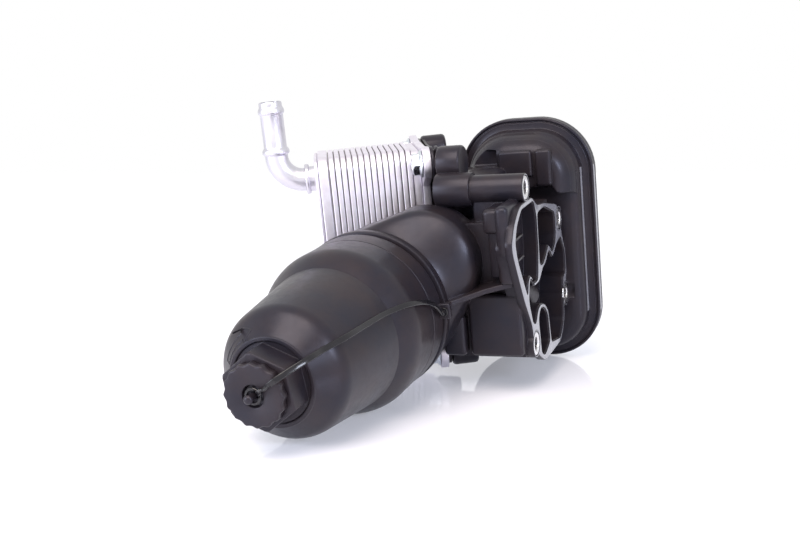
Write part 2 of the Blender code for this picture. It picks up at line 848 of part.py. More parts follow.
def make_valve(axis, spider, finish, spring_finish):
    """The bypass valve: a disc on a stem, held against the seat by a coil spring."""
    face = CAGE_FRONT + 3 * MM + FIT
    stem = 1.6 * MM
    turned(
        "bypass_valve",
        [
            (face, 0),
            (face, VALVE_RADIUS),
            (face + 1.8 * MM, VALVE_RADIUS),
            (face + 2.6 * MM, stem + 0.4 * MM),
            (face + 3.2 * MM, stem),
            (spider + 2 * MM + VALVE_TRAVEL, stem),
            (spider + 2 * MM + VALVE_TRAVEL, 0),
        ],
        axis,
        finish,
        24,
    )
    start = face + 2.6 * MM + SPRING_WIRE + FIT
    end = spider - SPRING_WIRE - FIT
    points = []
    per_turn = 12
    count = SPRING_TURNS * per_turn
    for i in range(count + 1):
        angle = 2 * math.pi * i / per_turn
        height = start + (end - start) * i / count
        points.append((SPRING_RADIUS * math.cos(angle), SPRING_RADIUS * math.sin(angle), height))
    mesh = tube_mesh("bypass_spring", points, SPRING_WIRE, 1)
    add_object("bypass_spring", mesh, axis, spring_finish)


def make_drain_back_valve(axis, finish):
    """The rubber disc that keeps oil in the filter, round the foot of the cage."""
    floor = bowl_floor() - FIT
    turned(
        "drain_back_valve",
        [
            (floor - 2 * MM, CAGE_RADIUS + FIT),
            (floor - 3.2 * MM, 24 * MM),
            (floor - 4.6 * MM, 34 * MM),
            (floor - 3.4 * MM, 34.4 * MM),
            (floor - 1.6 * MM, 25 * MM),
            (floor, 22 * MM),
            (floor, CAGE_RADIUS + FIT),
        ],
        axis,
        finish,
        28,
        closed=True,
    )


def chamber_outline(inset=0.0, steps=6):
    """The breather chamber's outline in (x, z), drawn in by an inset."""
    return rounded_rectangle(
        CHAMBER_LEFT + inset,
        CHAMBER_RIGHT - inset,
        CHAMBER_BOTTOM + inset,
        CHAMBER_TOP - inset,
        CHAMBER_CORNER - inset,
        steps,
    )


def hood_outline(inset=0.0):
    """The top of the chamber, which stands further forward, in (x, z)."""
    left = CHAMBER_LEFT + RIM_WIDTH + 2 * MM + inset
    right = CHAMBER_RIGHT - RIM_WIDTH - 2 * MM - inset
    top = CHAMBER_TOP - RIM_WIDTH - 2 * MM - inset
    bottom = HOOD_BOTTOM + inset
    radius = CHAMBER_CORNER - RIM_WIDTH - inset
    points = arc((right - radius, top - radius), radius, 0, 90, 5)
    points += arc((left + radius, top - radius), radius, 90, 180, 5)
    points += [(left, bottom), (right - 26 * MM, bottom), (right - 19 * MM, bottom - 1 * MM)]
    points += [(right - 12 * MM, bottom + 2 * MM), (right - 6 * MM, bottom + 1 * MM)]
    points += [(right, bottom - 6 * MM)]
    return points


def flange_corners():
    """The corners of the engine flange in (y, z), starting at its front tip."""
    front, back, top, bottom = FLANGE_FRONT, FLANGE_BACK, FLANGE_TOP, FLANGE_BOTTOM
    return [
        (front, 38 * MM),
        (front + 1 * MM, 32 * MM),
        (front + 18 * MM, 1 * MM),
        (BOTTOM_BOSS[0] - 7 * MM, -20 * MM),
        (BOTTOM_BOSS[0] - 6 * MM, BOTTOM_BOSS[1] - 1 * MM),
        (BOTTOM_BOSS[0] + 1 * MM, BOTTOM_BOSS[1] - 7 * MM),
        (BOTTOM_BOSS[0] + 18 * MM, bottom + 1 * MM),
        (back - 26 * MM, bottom),
        (back - 14 * MM, bottom + 12 * MM),
        (back - 13 * MM, -30 * MM),
        (back, -14 * MM),
        (back + 1 * MM, 4 * MM),
        (back - 8 * MM, 19 * MM),
        (back - 14 * MM, 40 * MM),
        (back - 52 * MM, 48 * MM),
        (back - 71 * MM, 50 * MM),
        (TOP_BOSS[0] + 14 * MM, top),
        (front + 22 * MM, top),
        (front + 7 * MM, 48 * MM),
    ]


def core_corners():
    """The thicker part of the flange, a little inside its edge and clear of its front tip."""
    middle = Vector(((FLANGE_FRONT + FLANGE_BACK) / 2, (FLANGE_TOP + FLANGE_BOTTOM) / 2))
    corners = []
    for corner in flange_corners():
        y, z = middle + (Vector(corner) - middle) * 0.97
        corners.append((max(y, FLANGE_FRONT + FLANGE_CORE_FRONT), z))
    return corners


def flange_pockets():
    """The open chambers in the flange's face, as (name, outline in (y, z), depth)."""
    front, back = FLANGE_FRONT, FLANGE_BACK
    filter_side = [
        (front + 11.5 * MM, 37.5 * MM),
        (front + 15 * MM, 26 * MM),
        (front + 28.5 * MM, 2 * MM),
        (front + 31 * MM, 11 * MM),
        (front + 37 * MM, 12.5 * MM),
        (front + 42 * MM, 6.5 * MM),
        (front + 53 * MM, 6 * MM),
        (front + 58 * MM, 24 * MM),
        (front + 58.5 * MM, 42 * MM),
        (front + 54 * MM, 51 * MM),
        (front + 30 * MM, 50.5 * MM),
        (front + 19 * MM, 44.5 * MM),
    ]
    upper = [
        (front + 62 * MM, 42 * MM),
        (front + 60 * MM, 13 * MM),
        (front + 70 * MM, 12.5 * MM),
        (front + 86 * MM, 18.5 * MM),
        (front + 95 * MM, 15 * MM),
        (front + 108 * MM, 22 * MM),
        (front + 108.5 * MM, 34 * MM),
        (front + 82 * MM, 43 * MM),
    ]
    crescent = [
        (back - 15 * MM, 14 * MM),
        (back - 34 * MM, 10.5 * MM),
        (back - 50 * MM, 12 * MM),
        (front + 68 * MM, 8 * MM),
        (front + 55 * MM, 2.5 * MM),
        (front + 44 * MM, 2 * MM),
        (front + 33 * MM, -7 * MM),
        (front + 39 * MM, -17 * MM),
        (front + 50 * MM, -14.5 * MM),
        (front + 62 * MM, -13 * MM),
        (front + 74 * MM, -22 * MM),
        (front + 77 * MM, -43 * MM),
        (back - 31 * MM, -47 * MM),
        (back - 20 * MM, -40 * MM),
        (back - 18 * MM, -27 * MM),
        (back - 14 * MM, -11 * MM),
        (back - 4.5 * MM, -8 * MM),
        (back - 4.5 * MM, 3 * MM),
    ]
    slot = [
        (front + 51.5 * MM, -21 * MM),
        (front + 59 * MM, -19 * MM),
        (front + 67 * MM, -24 * MM),
        (front + 70 * MM, -41 * MM),
        (front + 60 * MM, -43 * MM),
    ]
    return (
        ("filter side pocket", filter_side, FRONT_POCKET_DEPTH),
        ("upper pocket", upper, POCKET_DEPTH),
        ("lower pocket", crescent, POCKET_DEPTH),
        ("slot pocket", slot, POCKET_DEPTH),
    )


def sleeve_places():
    """The (y, z) of the four bolt sleeves on the flange."""
    return (
        TOP_BOSS,
        BOTTOM_BOSS,
        (FLANGE_BACK - 14 * MM, 30 * MM),
        (FLANGE_BACK - 6.5 * MM, -24.5 * MM),
    )


def ear_places():
    """The (y, z) of the cooler's four bolts, in the cooler's frame."""
    places = []
    for y in (-EAR_OUT, COOLER_DEPTH + EAR_OUT):
        for z in (COOLER_TOP - EAR_INSET, BASE_BOTTOM + EAR_INSET):
            places.append((y, z))
    return places


def cooler_outline(inset=0.0, steps=3):
    return rounded_rectangle(
        inset, COOLER_DEPTH - inset, COOLER_BOTTOM + inset, COOLER_TOP - inset,
        COOLER_CORNER - inset, steps,
    )


def eared_outline():
    """The cooler's outline with a round ear at each of its four bolts, in (y, z)."""
    half_depth = COOLER_DEPTH / 2
    half_height = (COOLER_TOP - BASE_BOTTOM) / 2
    centre = (half_depth, (COOLER_TOP + BASE_BOTTOM) / 2)
    ear = (half_depth + EAR_OUT, half_height - EAR_INSET)
    quarter = [(half_depth, ear[1] - EAR_RADIUS - 5 * MM)]
    quarter += arc(ear, EAR_RADIUS, -75, 98, 10)
    quarter += [(half_depth - COOLER_CORNER - 3 * MM, half_height)]
    outline = []
    for y_side, z_side in ((1, 1), (-1, 1), (-1, -1), (1, -1)):
        run = quarter if y_side == z_side else quarter[::-1]
        outline += [(centre[0] + y * y_side, centre[1] + z * z_side) for y, z in run]
    return outline


def eared_plate(name, low, high, cooler, finish=None):
    return slab(name, eared_outline(), low, high, cooler, finish, "X")


def make_neck(axis, housing):
    neck = turned(
        "neck",
        [
            (COLLAR_STATION, 0),
            (COLLAR_STATION, COLLAR_RADIUS - 0.8 * MM),
            (COLLAR_STATION + 0.8 * MM, COLLAR_RADIUS),
            (COLLAR_STATION + COLLAR_LENGTH, COLLAR_RADIUS),
            (COLLAR_STATION + COLLAR_LENGTH + 2 * MM, NECK_RADIUS),
            (bowl_floor() - 4 * MM, NECK_RADIUS),
            (bowl_floor() + NECK_FLOOR - 4 * MM, NECK_RADIUS - 5 * MM),
            (bowl_floor() + NECK_FLOOR, NECK_RADIUS - 14 * MM),
            (bowl_floor() + NECK_FLOOR, 0),
        ],
        axis,
        steps=36,
    )
    join(housing, neck)


def round_hull(circles, steps):
    """The outline that a band stretched round some circles takes, each circle as (x, z, radius)."""
    outline = []
    for i in range(steps):
        angle = 2 * math.pi * (i + 0.5) / steps
        way = Vector((math.cos(angle), math.sin(angle)))
        outer = max(circles, key=lambda circle: way.dot(circle[:2]) + circle[2])
        outline.append((outer[0] + outer[2] * way.x, outer[1] + outer[2] * way.y))
    return outline


def body_circles(y, inset):
    """The circles that the body's outline is stretched round at one station along the axis."""
    share = min(1, (y - COLLAR_STATION - 2 * MM) / BODY_WIDENING)
    grown = share * share * (3 - 2 * share)
    tail = max(0, (y - BODY_TAIL) / (BODY_BACK - BODY_TAIL))
    shift_x, shift_z = TAIL_SHIFT[0] * tail, TAIL_SHIFT[1] * tail
    circles = [(shift_x, shift_z, BODY_RADIUS - inset - TAIL_SHRINK * tail)]
    for (x, z), full, drawn in (
        (BODY_CROWN, BODY_CROWN_RADIUS, 1),
        (BODY_SHOULDER, BODY_SHOULDER_RADIUS, 0),
    ):
        radius = BODY_RADIUS + (full - BODY_RADIUS) * grown - inset - TAIL_SHRINK * tail * drawn
        circles.append((x * grown + shift_x * drawn, z * grown + shift_z * drawn, radius))
    return circles


def body_mesh(name, steps=56):
    """The body behind the neck: round at its front, wider towards the flange further back."""
    shape = bmesh.new()
    front = COLLAR_STATION + 2 * MM
    stations = [(front + BODY_WIDENING * i / 6, 0) for i in range(7)]
    stations.append((BODY_TAIL, 0))
    for i in range(3):
        angle = math.pi / 4 * i
        inset = BODY_ROUND * (1 - math.cos(angle))
        stations.append((BODY_BACK - BODY_ROUND * (1 - math.sin(angle)), inset))
    rings = []
    for y, inset in stations:
        outline = round_hull(body_circles(y, inset), steps)
        rings.append([shape.verts.new((x, y, z)) for x, z in outline])
    for first, second in zip(rings, rings[1:]):
        for k in range(steps):
            shape.faces.new((first[k], first[(k + 1) % steps], second[(k + 1) % steps], second[k]))
    shape.faces.new(rings[0])
    shape.faces.new(rings[-1])
    bmesh.ops.recalc_face_normals(shape, faces=shape.faces)
    mesh = bpy.data.meshes.new(name)
    shape.to_mesh(mesh)
    shape.free()
    return mesh


def make_housing(module, axis, cooler, finish):
    """The moulding that carries everything: neck, body, flange, cooler pad and breather chamber."""
    housing = add_object("housing", body_mesh("housing"), module, finish)
    make_neck(axis, housing)
    add_gallery(module, housing)
    add_flange(module, housing)
    add_chamber(module, housing)
    add_pad(cooler, housing)
    cut_bowl(axis, housing)
    cut_flange(module, housing)
    cut_pad(cooler, housing)
    cut_chamber(module, housing)
    return housing


def add_gallery(module, housing):
    """The oil passages between the filter, the cooler pad and the flange."""
    pad_front = COOLER_PAD + pad_direction() * 8 * MM
    pad_back = COOLER_PAD + pad_direction() * (COOLER_DEPTH - 4 * MM)
    outline = [
        (38 * MM, BODY_BACK - 12 * MM),
        (FLANGE_FACE - 4 * MM, BODY_BACK - 12 * MM),
        (FLANGE_FACE - 4 * MM, GALLERY_BACK),
        (pad_back.x + 9 * MM, GALLERY_BACK),
        (pad_back.x + 2 * MM, pad_back.y),
        (pad_front.x + 2 * MM, pad_front.y),
    ]
    join(housing, slab("gallery", outline, -38 * MM, 46 * MM, module))
    arm = [
        (CHAMBER_LEFT + 5 * MM, GALLERY_BACK - 8 * MM),
        (FLANGE_FACE - 7 * MM, GALLERY_BACK - 8 * MM),
        (FLANGE_FACE - 7 * MM, CHAMBER_FRONT + 2 * MM),
        (CHAMBER_LEFT + 5 * MM, CHAMBER_FRONT + 2 * MM),
    ]
    join(housing, slab("chamber arm", arm, -11 * MM, 17 * MM, module))
    upper = [
        (32 * MM, 182 * MM),
        (56 * MM, 176 * MM),
        (56 * MM, CHAMBER_FRONT + 2 * MM),
        (20 * MM, CHAMBER_FRONT + 2 * MM),
        (20 * MM, 210 * MM),
    ]
    join(housing, slab("upper gallery", upper, 40 * MM, 66 * MM, module))
    left, right = CAN_ENDS
    y, z = CAN_PLACE
    saddle = block(
        "can saddle", (left + 2 * MM, y - 7 * MM, 60 * MM), (right - 2 * MM, y + 9 * MM, z - 2 * MM), module
    )
    can = rod("can", CAN_RADIUS, (left, y, z), (right, y, z), module, 24, turn=math.pi / 24)
    bevel(can, 1 * MM, 1)
    join(housing, saddle)
    join(housing, can)
    low_blocks = (
        ("sump block", (53 * MM, 150 * MM, -36 * MM), (FLANGE_FACE - 2 * MM, 204 * MM, -6 * MM)),
        ("foot", (36 * MM, 148 * MM, -36 * MM), (50.5 * MM, 186 * MM, -10 * MM)),
    )
    for name, low, high in low_blocks:
        join(housing, block(name, low, high, module, 2.2 * MM))
    shelf = [
        (COLLAR_RADIUS - 8 * MM, COLLAR_STATION + 1.2 * MM),
        (COLLAR_RADIUS + 3 * MM, COLLAR_STATION + 1.2 * MM),
        (FLANGE_FACE - 21 * MM, FLANGE_FRONT + 9 * MM),
        (FLANGE_FACE - 4 * MM, FLANGE_FRONT + 14 * MM),
        (FLANGE_FACE - 4 * MM, BODY_BACK),
        (COLLAR_RADIUS - 8 * MM, BODY_BACK),
    ]
    join(housing, slab("shelf", shelf, 6 * MM, 9.2 * MM, module))


def add_flange(module, housing):
    outline = filleted(flange_corners(), 8 * MM)
    plate = slab("flange", outline, FLANGE_FACE - FLANGE_DEPTH, FLANGE_FACE, module, axis="X")
    join(housing, plate)
    low = FLANGE_FACE - FLANGE_CORE_DEPTH
    core = slab(
        "flange core", filleted(core_corners(), 8 * MM), low, FLANGE_FACE - 2 * MM, module, axis="X"
    )
    join(housing, core)
    steps = (
        ("flange step", (69 * MM, 141 * MM, 42 * MM), (80 * MM, 172 * MM, 56.5 * MM)),
        ("flange knuckle", (78.7 * MM, 134.5 * MM, 34 * MM), (87 * MM, 172 * MM, 59.5 * MM)),
        ("flange cheek", (77.5 * MM, 139 * MM, 16 * MM), (87 * MM, 172 * MM, 36 * MM)),
    )
    for name, low, high in steps:
        join(housing, block(name, low, high, module, 2.6 * MM))
    for i, (y, z) in enumerate(sleeve_places()):
        radius = SLEEVE_RADIUS + SLEEVE_WALL
        start = SLEEVE_HEADS[i] + BOSS_PROUD
        boss = rod(f"boss {i}", radius, (start, y, z), (FLANGE_FACE + BOSS_PROUD, y, z), module, 24)
        join(housing, boss)
    y, z = TOP_BOSS
    web = block(
        "boss web", (57 * MM, y - 5 * MM, 40 * MM), (FLANGE_FACE - 3 * MM, y + 12.4 * MM, z - 2.3 * MM), module
    )
    join(housing, web)


def add_chamber(module, housing):
    """The chamber's front shell: a rim, a shallow dome inside it, and a hood at the top."""
    rim = slab(
        "chamber rim", chamber_outline(), RIM_STATION, RIM_STATION + RIM_THICKNESS, module, axis="Y"
    )
    bevel(rim, 1.2 * MM, 1, 60)
    dome = slab(
        "chamber dome", chamber_outline(RIM_WIDTH), CHAMBER_FRONT, RIM_STATION + 1 * MM, module,
        axis="Y",
    )
    bevel(dome, 3.5 * MM, 2, 60)
    hood = slab(
        "chamber hood", hood_outline(), HOOD_FRONT, CHAMBER_FRONT + 4 * MM, module, axis="Y"
    )
    bevel(hood, 3 * MM, 2, 50)
    for other in (rim, dome, hood):
        join(housing, other)
    for i, (left, right, low, high) in enumerate(HOOD_PANELS):
        panel = block(
            f"hood panel {i}",
            (left, HOOD_FRONT - HOOD_PANEL_LIFT, low),
            (right, HOOD_FRONT + 6 * MM, high),
            module,
            1.4 * MM,
        )
        join(housing, panel)
    left, right, low, high = HOOD_RECESS
    recess = block(
        "hood recess", (left, HOOD_FRONT - 5 * MM, low), (right, HOOD_FRONT + HOOD_RECESS_DEPTH, high), module
    )
    cut(housing, recess)


def pad_direction():
    """The direction along the cooler's pad, towards the back, in the module frame."""
    return Vector((-math.sin(COOLER_TURN), math.cos(COOLER_TURN), 0))


def add_pad(cooler, housing):
    """The pad that the cooler bolts to, with a round boss behind each bolt."""
    join(housing, eared_plate("pad", 0, PAD_THICKNESS, cooler))
    for i, (y, z) in enumerate(ear_places()):
        boss = rod(
            f"pad boss {i}", EAR_RADIUS - 1 * MM, (PAD_THICKNESS / 2, y, z), (BOLT_GRIP + 8 * MM, y, z), cooler
        )
        bevel(boss, 2 * MM, 2)
        join(housing, boss)


def cut_bowl(axis, housing):
    front = COLLAR_STATION - 20 * MM
    sides = 36
    bowl = rod(
        "bowl", BOWL_RADIUS, (0, 0, front), (0, 0, bowl_floor()), axis, sides, turn=math.pi / sides
    )
    cut(housing, bowl)


def cut_flange(module, housing):
    for name, corners, depth in flange_pockets():
        outline = filleted(corners, 3 * MM, 2)
        pocket = slab(name, outline, FLANGE_FACE - depth, FLANGE_FACE + 5 * MM, module, axis="X")
        cut(housing, pocket)
    for i, (y, z) in enumerate(sleeve_places()):
        bore = rod(
            f"sleeve bore {i}",
            SLEEVE_RADIUS + FIT,
            (SLEEVE_HEADS[i] - 5 * MM, y, z),
            (FLANGE_FACE + 5 * MM, y, z),
            module,
            24,
        )
        cut(housing, bore)
        head = SLEEVE_HEADS[i] - FIT
        access = rod(f"bolt access {i}", ACCESS_RADIUS, (-20 * MM, y, z), (head, y, z), module, 24)
        if i < 2:
            cut(housing, access)


def port_heights():
    middle = (COOLER_TOP + COOLER_BOTTOM) / 2
    return (middle - PORT_SPREAD / 2, middle + PORT_SPREAD / 2)


def cut_pad(cooler, housing):
    """The bolts' blind holes, and an oil port with its seal groove at each end of the pad."""
    for i, (y, z) in enumerate(ear_places()):
        hole = rod(
            f"bolt hole {i}", BOLT_RADIUS + FIT, (-PAD_THICKNESS, y, z), (BOLT_GRIP + FIT, y, z), cooler, 16
        )
        cut(housing, hole)
    for i, z in enumerate(port_heights()):
        centre = COOLER_DEPTH / 2
        port = rod(
            f"oil port {i}", PORT_RADIUS, (-PAD_THICKNESS, centre, z), (PAD_THICKNESS * 0.8, centre, z),
            cooler, 20,
        )
        groove = rod(
            f"port groove {i}", PORT_RADIUS + 3.4 * MM, (-PAD_THICKNESS, centre, z), (2.6 * MM, centre, z),
            cooler, 24,
        )
        cut(housing, port)
        cut(housing, groove)


def cut_chamber(module, housing):
    """The hollow behind the chamber's dome and hood, open to the back."""
    back = RIM_STATION + RIM_THICKNESS + 2 * MM
    inset = RIM_WIDTH + CHAMBER_WALL
    hollow = slab(
        "chamber hollow", chamber_outline(inset), CHAMBER_FRONT + CHAMBER_WALL, back, module, axis="Y"
    )
    hood = slab(
        "hood hollow", hood_outline(CHAMBER_WALL), HOOD_FRONT + HOOD_RECESS_DEPTH + 2 * MM, back, module,
        axis="Y",
    )
    cut(housing, hollow)
    cut(housing, hood)


def make_cover(module, finish):
    """The rear cover: a flat rim on the chamber's rim, and a shallow raised panel with ribs."""
    front = RIM_STATION + RIM_THICKNESS + FIT
    cover = slab("breather_cover", chamber_outline(), front, front + COVER_THICKNESS, module, finish, "Y")
    bevel(cover, 1.2 * MM, 1, 60)
    back = front + COVER_THICKNESS
    panel = slab(
        "cover panel", chamber_outline(RIM_WIDTH + 2 * MM), back - 2 * MM, back + COVER_DOME, module,
        axis="Y",
    )
    bevel(panel, 2.5 * MM, 2, 60)
    join(cover, panel)
    middle = (CHAMBER_LEFT + CHAMBER_RIGHT) / 2
    for i in range(3):
        z = CHAMBER_BOTTOM + (CHAMBER_TOP - CHAMBER_BOTTOM) * (i + 1) / 4
        rib = block(
            f"cover rib {i}",
            (middle - 30 * MM, back + COVER_DOME - 1 * MM, z - 1.5 * MM),
            (middle + 30 * MM, back + COVER_DOME + 2 * MM, z + 1.5 * MM),
            module,
            0.8 * MM,
            1,
        )
        join(cover, rib)
    return cover


def make_sleeves(module, finish):
    """Four steel sleeves that keep the flange bolts from crushing the plastic."""
    for i, (y, z) in enumerate(sleeve_places()):
        head = SLEEVE_HEADS[i]
        sleeve = rod(
            f"flange_sleeve_{i + 1}", SLEEVE_RADIUS, (head, y, z), (FLANGE_FACE, y, z), module, 24, finish
        )
        bore = rod(
            f"bolt way {i}", SLEEVE_BORE_RADIUS, (head / 2, y, z), (FLANGE_FACE * 2, y, z), module, 16
        )
        cut(sleeve, bore)


def plate_stack():
    """The cooler's layers from the pad outwards, as (name, low x, high x)."""
    layers = []
    high = -FIT
    for name, thickness in (
        ("cooler_base_plate", BASE_THICKNESS),
        ("cooler_spacer_plate", SPACER_THICKNESS),
        ("cooler_plates", PLATE_COUNT * PLATE_PITCH),
        ("cooler_wide_plate", WIDE_PLATE),
        ("cooler_end_plate", END_PLATE),
    ):
        layers.append((name, high - thickness, high))
        high -= thickness + FIT
    return {name: (low, high) for name, low, high in layers}


def pack_mesh(name, low, high):
    """The brazed plates: one outline carried along x, drawn in at the groove between two plates."""
    shape = bmesh.new()
    lip = 0.18
    rings = []
    for i in range(PLATE_COUNT):
        start = low + PLATE_PITCH * i
        inner = GROOVE_DEPTH
        for share, inset in ((0, inner), (lip, inner), (lip, 0.25 * MM), (1, 0)):
            x = start + PLATE_PITCH * share
            rings.append([shape.verts.new((x, y, z)) for y, z in cooler_outline(inset)])
    for first, second in zip(rings, rings[1:]):
        count = len(first)
        for k in range(count):
            shape.faces.new((first[k], first[(k + 1) % count], second[(k + 1) % count], second[k]))
    shape.faces.new(rings[0])
    shape.faces.new(rings[-1])
    bmesh.ops.recalc_face_normals(shape, faces=shape.faces)
    mesh = bpy.data.meshes.new(name)
    shape.to_mesh(mesh)
    shape.free()
    return mesh


def make_cooler(cooler, finish, base_finish):
    layers = plate_stack()
    low, high = layers["cooler_base_plate"]
    base = eared_plate("cooler_base_plate", low, high, cooler, base_finish)
    for i, (y, z) in enumerate(ear_places()):
        hole = rod(f"base hole {i}", BOLT_RADIUS + FIT, (low * 2, y, z), (-low, y, z), cooler, 16)
        cut(base, hole)
    low, high = layers["cooler_spacer_plate"]
    slab("cooler_spacer_plate", cooler_outline(1.2 * MM), low, high, cooler, finish, "X")
    low, high = layers["cooler_plates"]
    add_object("cooler_plates", pack_mesh("cooler_plates", low, high), cooler, finish)
    low, high = layers["cooler_wide_plate"]
    wide = slab("cooler_wide_plate", cooler_outline(), low, high, cooler, finish, "X")
    bevel(wide, 0.5 * MM, 1, 60)
    low, high = layers["cooler_end_plate"]
    end = slab("cooler_end_plate", cooler_outline(1 * MM), low, high, cooler, finish, "X")
    bevel(end, 0.7 * MM, 2, 60)
    return low


def make_port_seals(cooler, finish):
    section = 2.8 * MM
    for i, z in enumerate(port_heights()):
        place = empty(f"port seal place {i + 1}", cooler, (0, COOLER_DEPTH / 2, z), (0, math.pi / 2, 0))
        ring(
            f"port_seal_{i + 1}", PORT_RADIUS + FIT + section / 2, section, section / 2 - FIT, place,
            finish, 24, 6,
        )


def make_bolt(name, cooler, y, z, finish):
    """A flange-head screw, its head on the base plate's outer side."""
    seat = plate_stack()["cooler_base_plate"][0] - FIT
    place = empty(f"{name} place", cooler, (0, y, z), (0, math.pi / 2, 0))
    head = 6.2 * MM
    bolt = turned(
        name,
        [
            (seat - 2 * MM, 0),
            (seat - 2 * MM, WASHER_RADIUS * 0.80),
            (seat - 0.7 * MM, WASHER_RADIUS),
            (seat, WASHER_RADIUS),
            (seat, BOLT_RADIUS),
            (BOLT_GRIP - 1 * MM, BOLT_RADIUS),
            (BOLT_GRIP, BOLT_RADIUS - 1 * MM),
            (BOLT_GRIP, 0),
        ],
        place,
        finish,
        18,
    )
    radius = 6.5 * MM / math.cos(math.pi / 6)
    hexagon = rod(f"{name} hexagon", radius, (0, 0, seat - head), (0, 0, seat - 1 * MM), place, 6)
    bevel(hexagon, 0.5 * MM, 1)
    join(bolt, hexagon)
    socket = rod(f"{name} dish", 4.4 * MM, (0, 0, seat - head - 2 * MM), (0, 0, seat - head + 1 * MM), place, 16)
    cut(bolt, socket)
    return bolt


def pipe_route(start_x, overrun=0.0):
    """The pipe's centre line: out of the end plate, round a quarter bend and up."""
    out = start_x - PIPE_OUT
    points = [(start_x - FIT + overrun, PIPE_BACK, PIPE_HEIGHT)]
    for i in range(9):
        angle = math.pi / 2 * i / 8
        x = out + PIPE_BEND - PIPE_BEND * math.sin(angle)
        z = PIPE_HEIGHT + PIPE_BEND - PIPE_BEND * math.cos(angle)
        points.append((x, PIPE_BACK, z))
    points.append((out, PIPE_BACK, PIPE_TOP + overrun))
    return points


def bead(name, height, x, radius, cooler):
    """A rounded bead round the pipe, with a steep side facing down."""
    place = empty(f"{name} place", cooler, (x, PIPE_BACK, height))
    half = 2.6 * MM
    return turned(
        name,
        [
            (-half, 0),
            (-half, PIPE_RADIUS - 0.2 * MM),
            (-half + 0.8 * MM, radius - 0.4 * MM),
            (-half + 1.8 * MM, radius),
            (half - 1.6 * MM, radius - 0.6 * MM),
            (half, PIPE_RADIUS - 0.2 * MM),
            (half, 0),
        ],
        place,
        steps=20,
    )


def make_pipe(cooler, end_x, finish):
    pipe = add_object(
        "coolant_pipe", tube_mesh("coolant_pipe", pipe_route(end_x), PIPE_RADIUS, 3), cooler, finish
    )
    x = end_x - PIPE_OUT
    beads = (
        (PIPE_TOP - 6 * MM, TOP_BEAD_RADIUS),
        (PIPE_HEIGHT + PIPE_BEND + 3.6 * MM, BEAD_RADIUS),
    )
    for i, (height, radius) in enumerate(beads):
        join(pipe, bead(f"pipe bead {i}", height, x, radius, cooler))
    bore = add_object(
        "pipe bore",
        tube_mesh("pipe bore", pipe_route(end_x, 5 * MM), PIPE_RADIUS - PIPE_WALL, 3),
        cooler,
    )
    cut(pipe, bore)
    place = empty("ferrule place", cooler, (end_x, PIPE_BACK, PIPE_HEIGHT), (0, -math.pi / 2, 0))
    neck = FERRULE_RADIUS - 1.8 * MM
    start = 4.2 * MM
    turned(
        "pipe_ferrule",
        [
            (FIT, PIPE_RADIUS + FIT),
            (FIT, neck),
            (start, neck),
            (start + 0.4 * MM, FERRULE_RADIUS),
            (start + FERRULE_LENGTH, FERRULE_RADIUS),
            (start + FERRULE_LENGTH + 0.4 * MM, neck),
            (start + FERRULE_LENGTH + 0.4 * MM, PIPE_RADIUS + FIT),
        ],
        place,
        finish,
        28,
        closed=True,
    )
    return pipe


def lowest(points, down):
    return max(points, key=lambda point: point.dot(down))


def resting_frame():
    """Tips the module onto its cap, its rear cover and the cooler's bottom edge."""
    cap = []
    for station, radius in (*cap_skin(), (SEAM_STATION, SKIRT_RADIUS), (LIP_STATION, LIP_RADIUS)):
        cap += [Vector((x, station, z)) for x, z in arc((0, 0), radius, 180, 360, 60)]
    cover_back = RIM_STATION + RIM_THICKNESS + FIT + COVER_THICKNESS
    cover = []
    for x, z in chamber_outline(steps=24):
        for y in (RIM_STATION, cover_back):
            cover.append(Vector((x, y, z)))
    turn = Matrix.Rotation(COOLER_TURN, 3, "Z")
    low, high = plate_stack()["cooler_wide_plate"]
    edge = []
    for y, z in cooler_outline(steps=16):
        for x in (low, high):
            edge.append(COOLER_PAD + turn @ Vector((x, y, z)))
    down = Vector((0, 0, -1))
    for _ in range(30):
        a, b, c = (lowest(points, down) for points in (cap, cover, edge))
        down = (b - a).cross(c - a).normalized()
        if down.z > 0:
            down = -down
    up = -down
    right = Vector((0, 1, 0)).cross(up).normalized()
    forward = up.cross(right)
    rotation = Matrix((right, forward, up))
    height = -min((rotation @ point).z for point in (a, b, c))
    return rotation.to_4x4(), height


def centre_on_floor():
    """Moves the module so that the middle of its box is over the origin and it stands on z = 0."""
    bpy.context.view_layer.update()
    graph = bpy.context.evaluated_depsgraph_get()
    low = Vector((1e9, 1e9, 1e9))
    high = -low
    for obj in PARTS.objects:
        if obj.type != "MESH":
            continue
        evaluated = obj.evaluated_get(graph)
        for vertex in evaluated.data.vertices:
            point = evaluated.matrix_world @ vertex.co
            low = Vector(map(min, low, point))
            high = Vector(map(max, high, point))
    return Vector((-(low.x + high.x) / 2, -(low.y + high.y) / 2, -low.z))


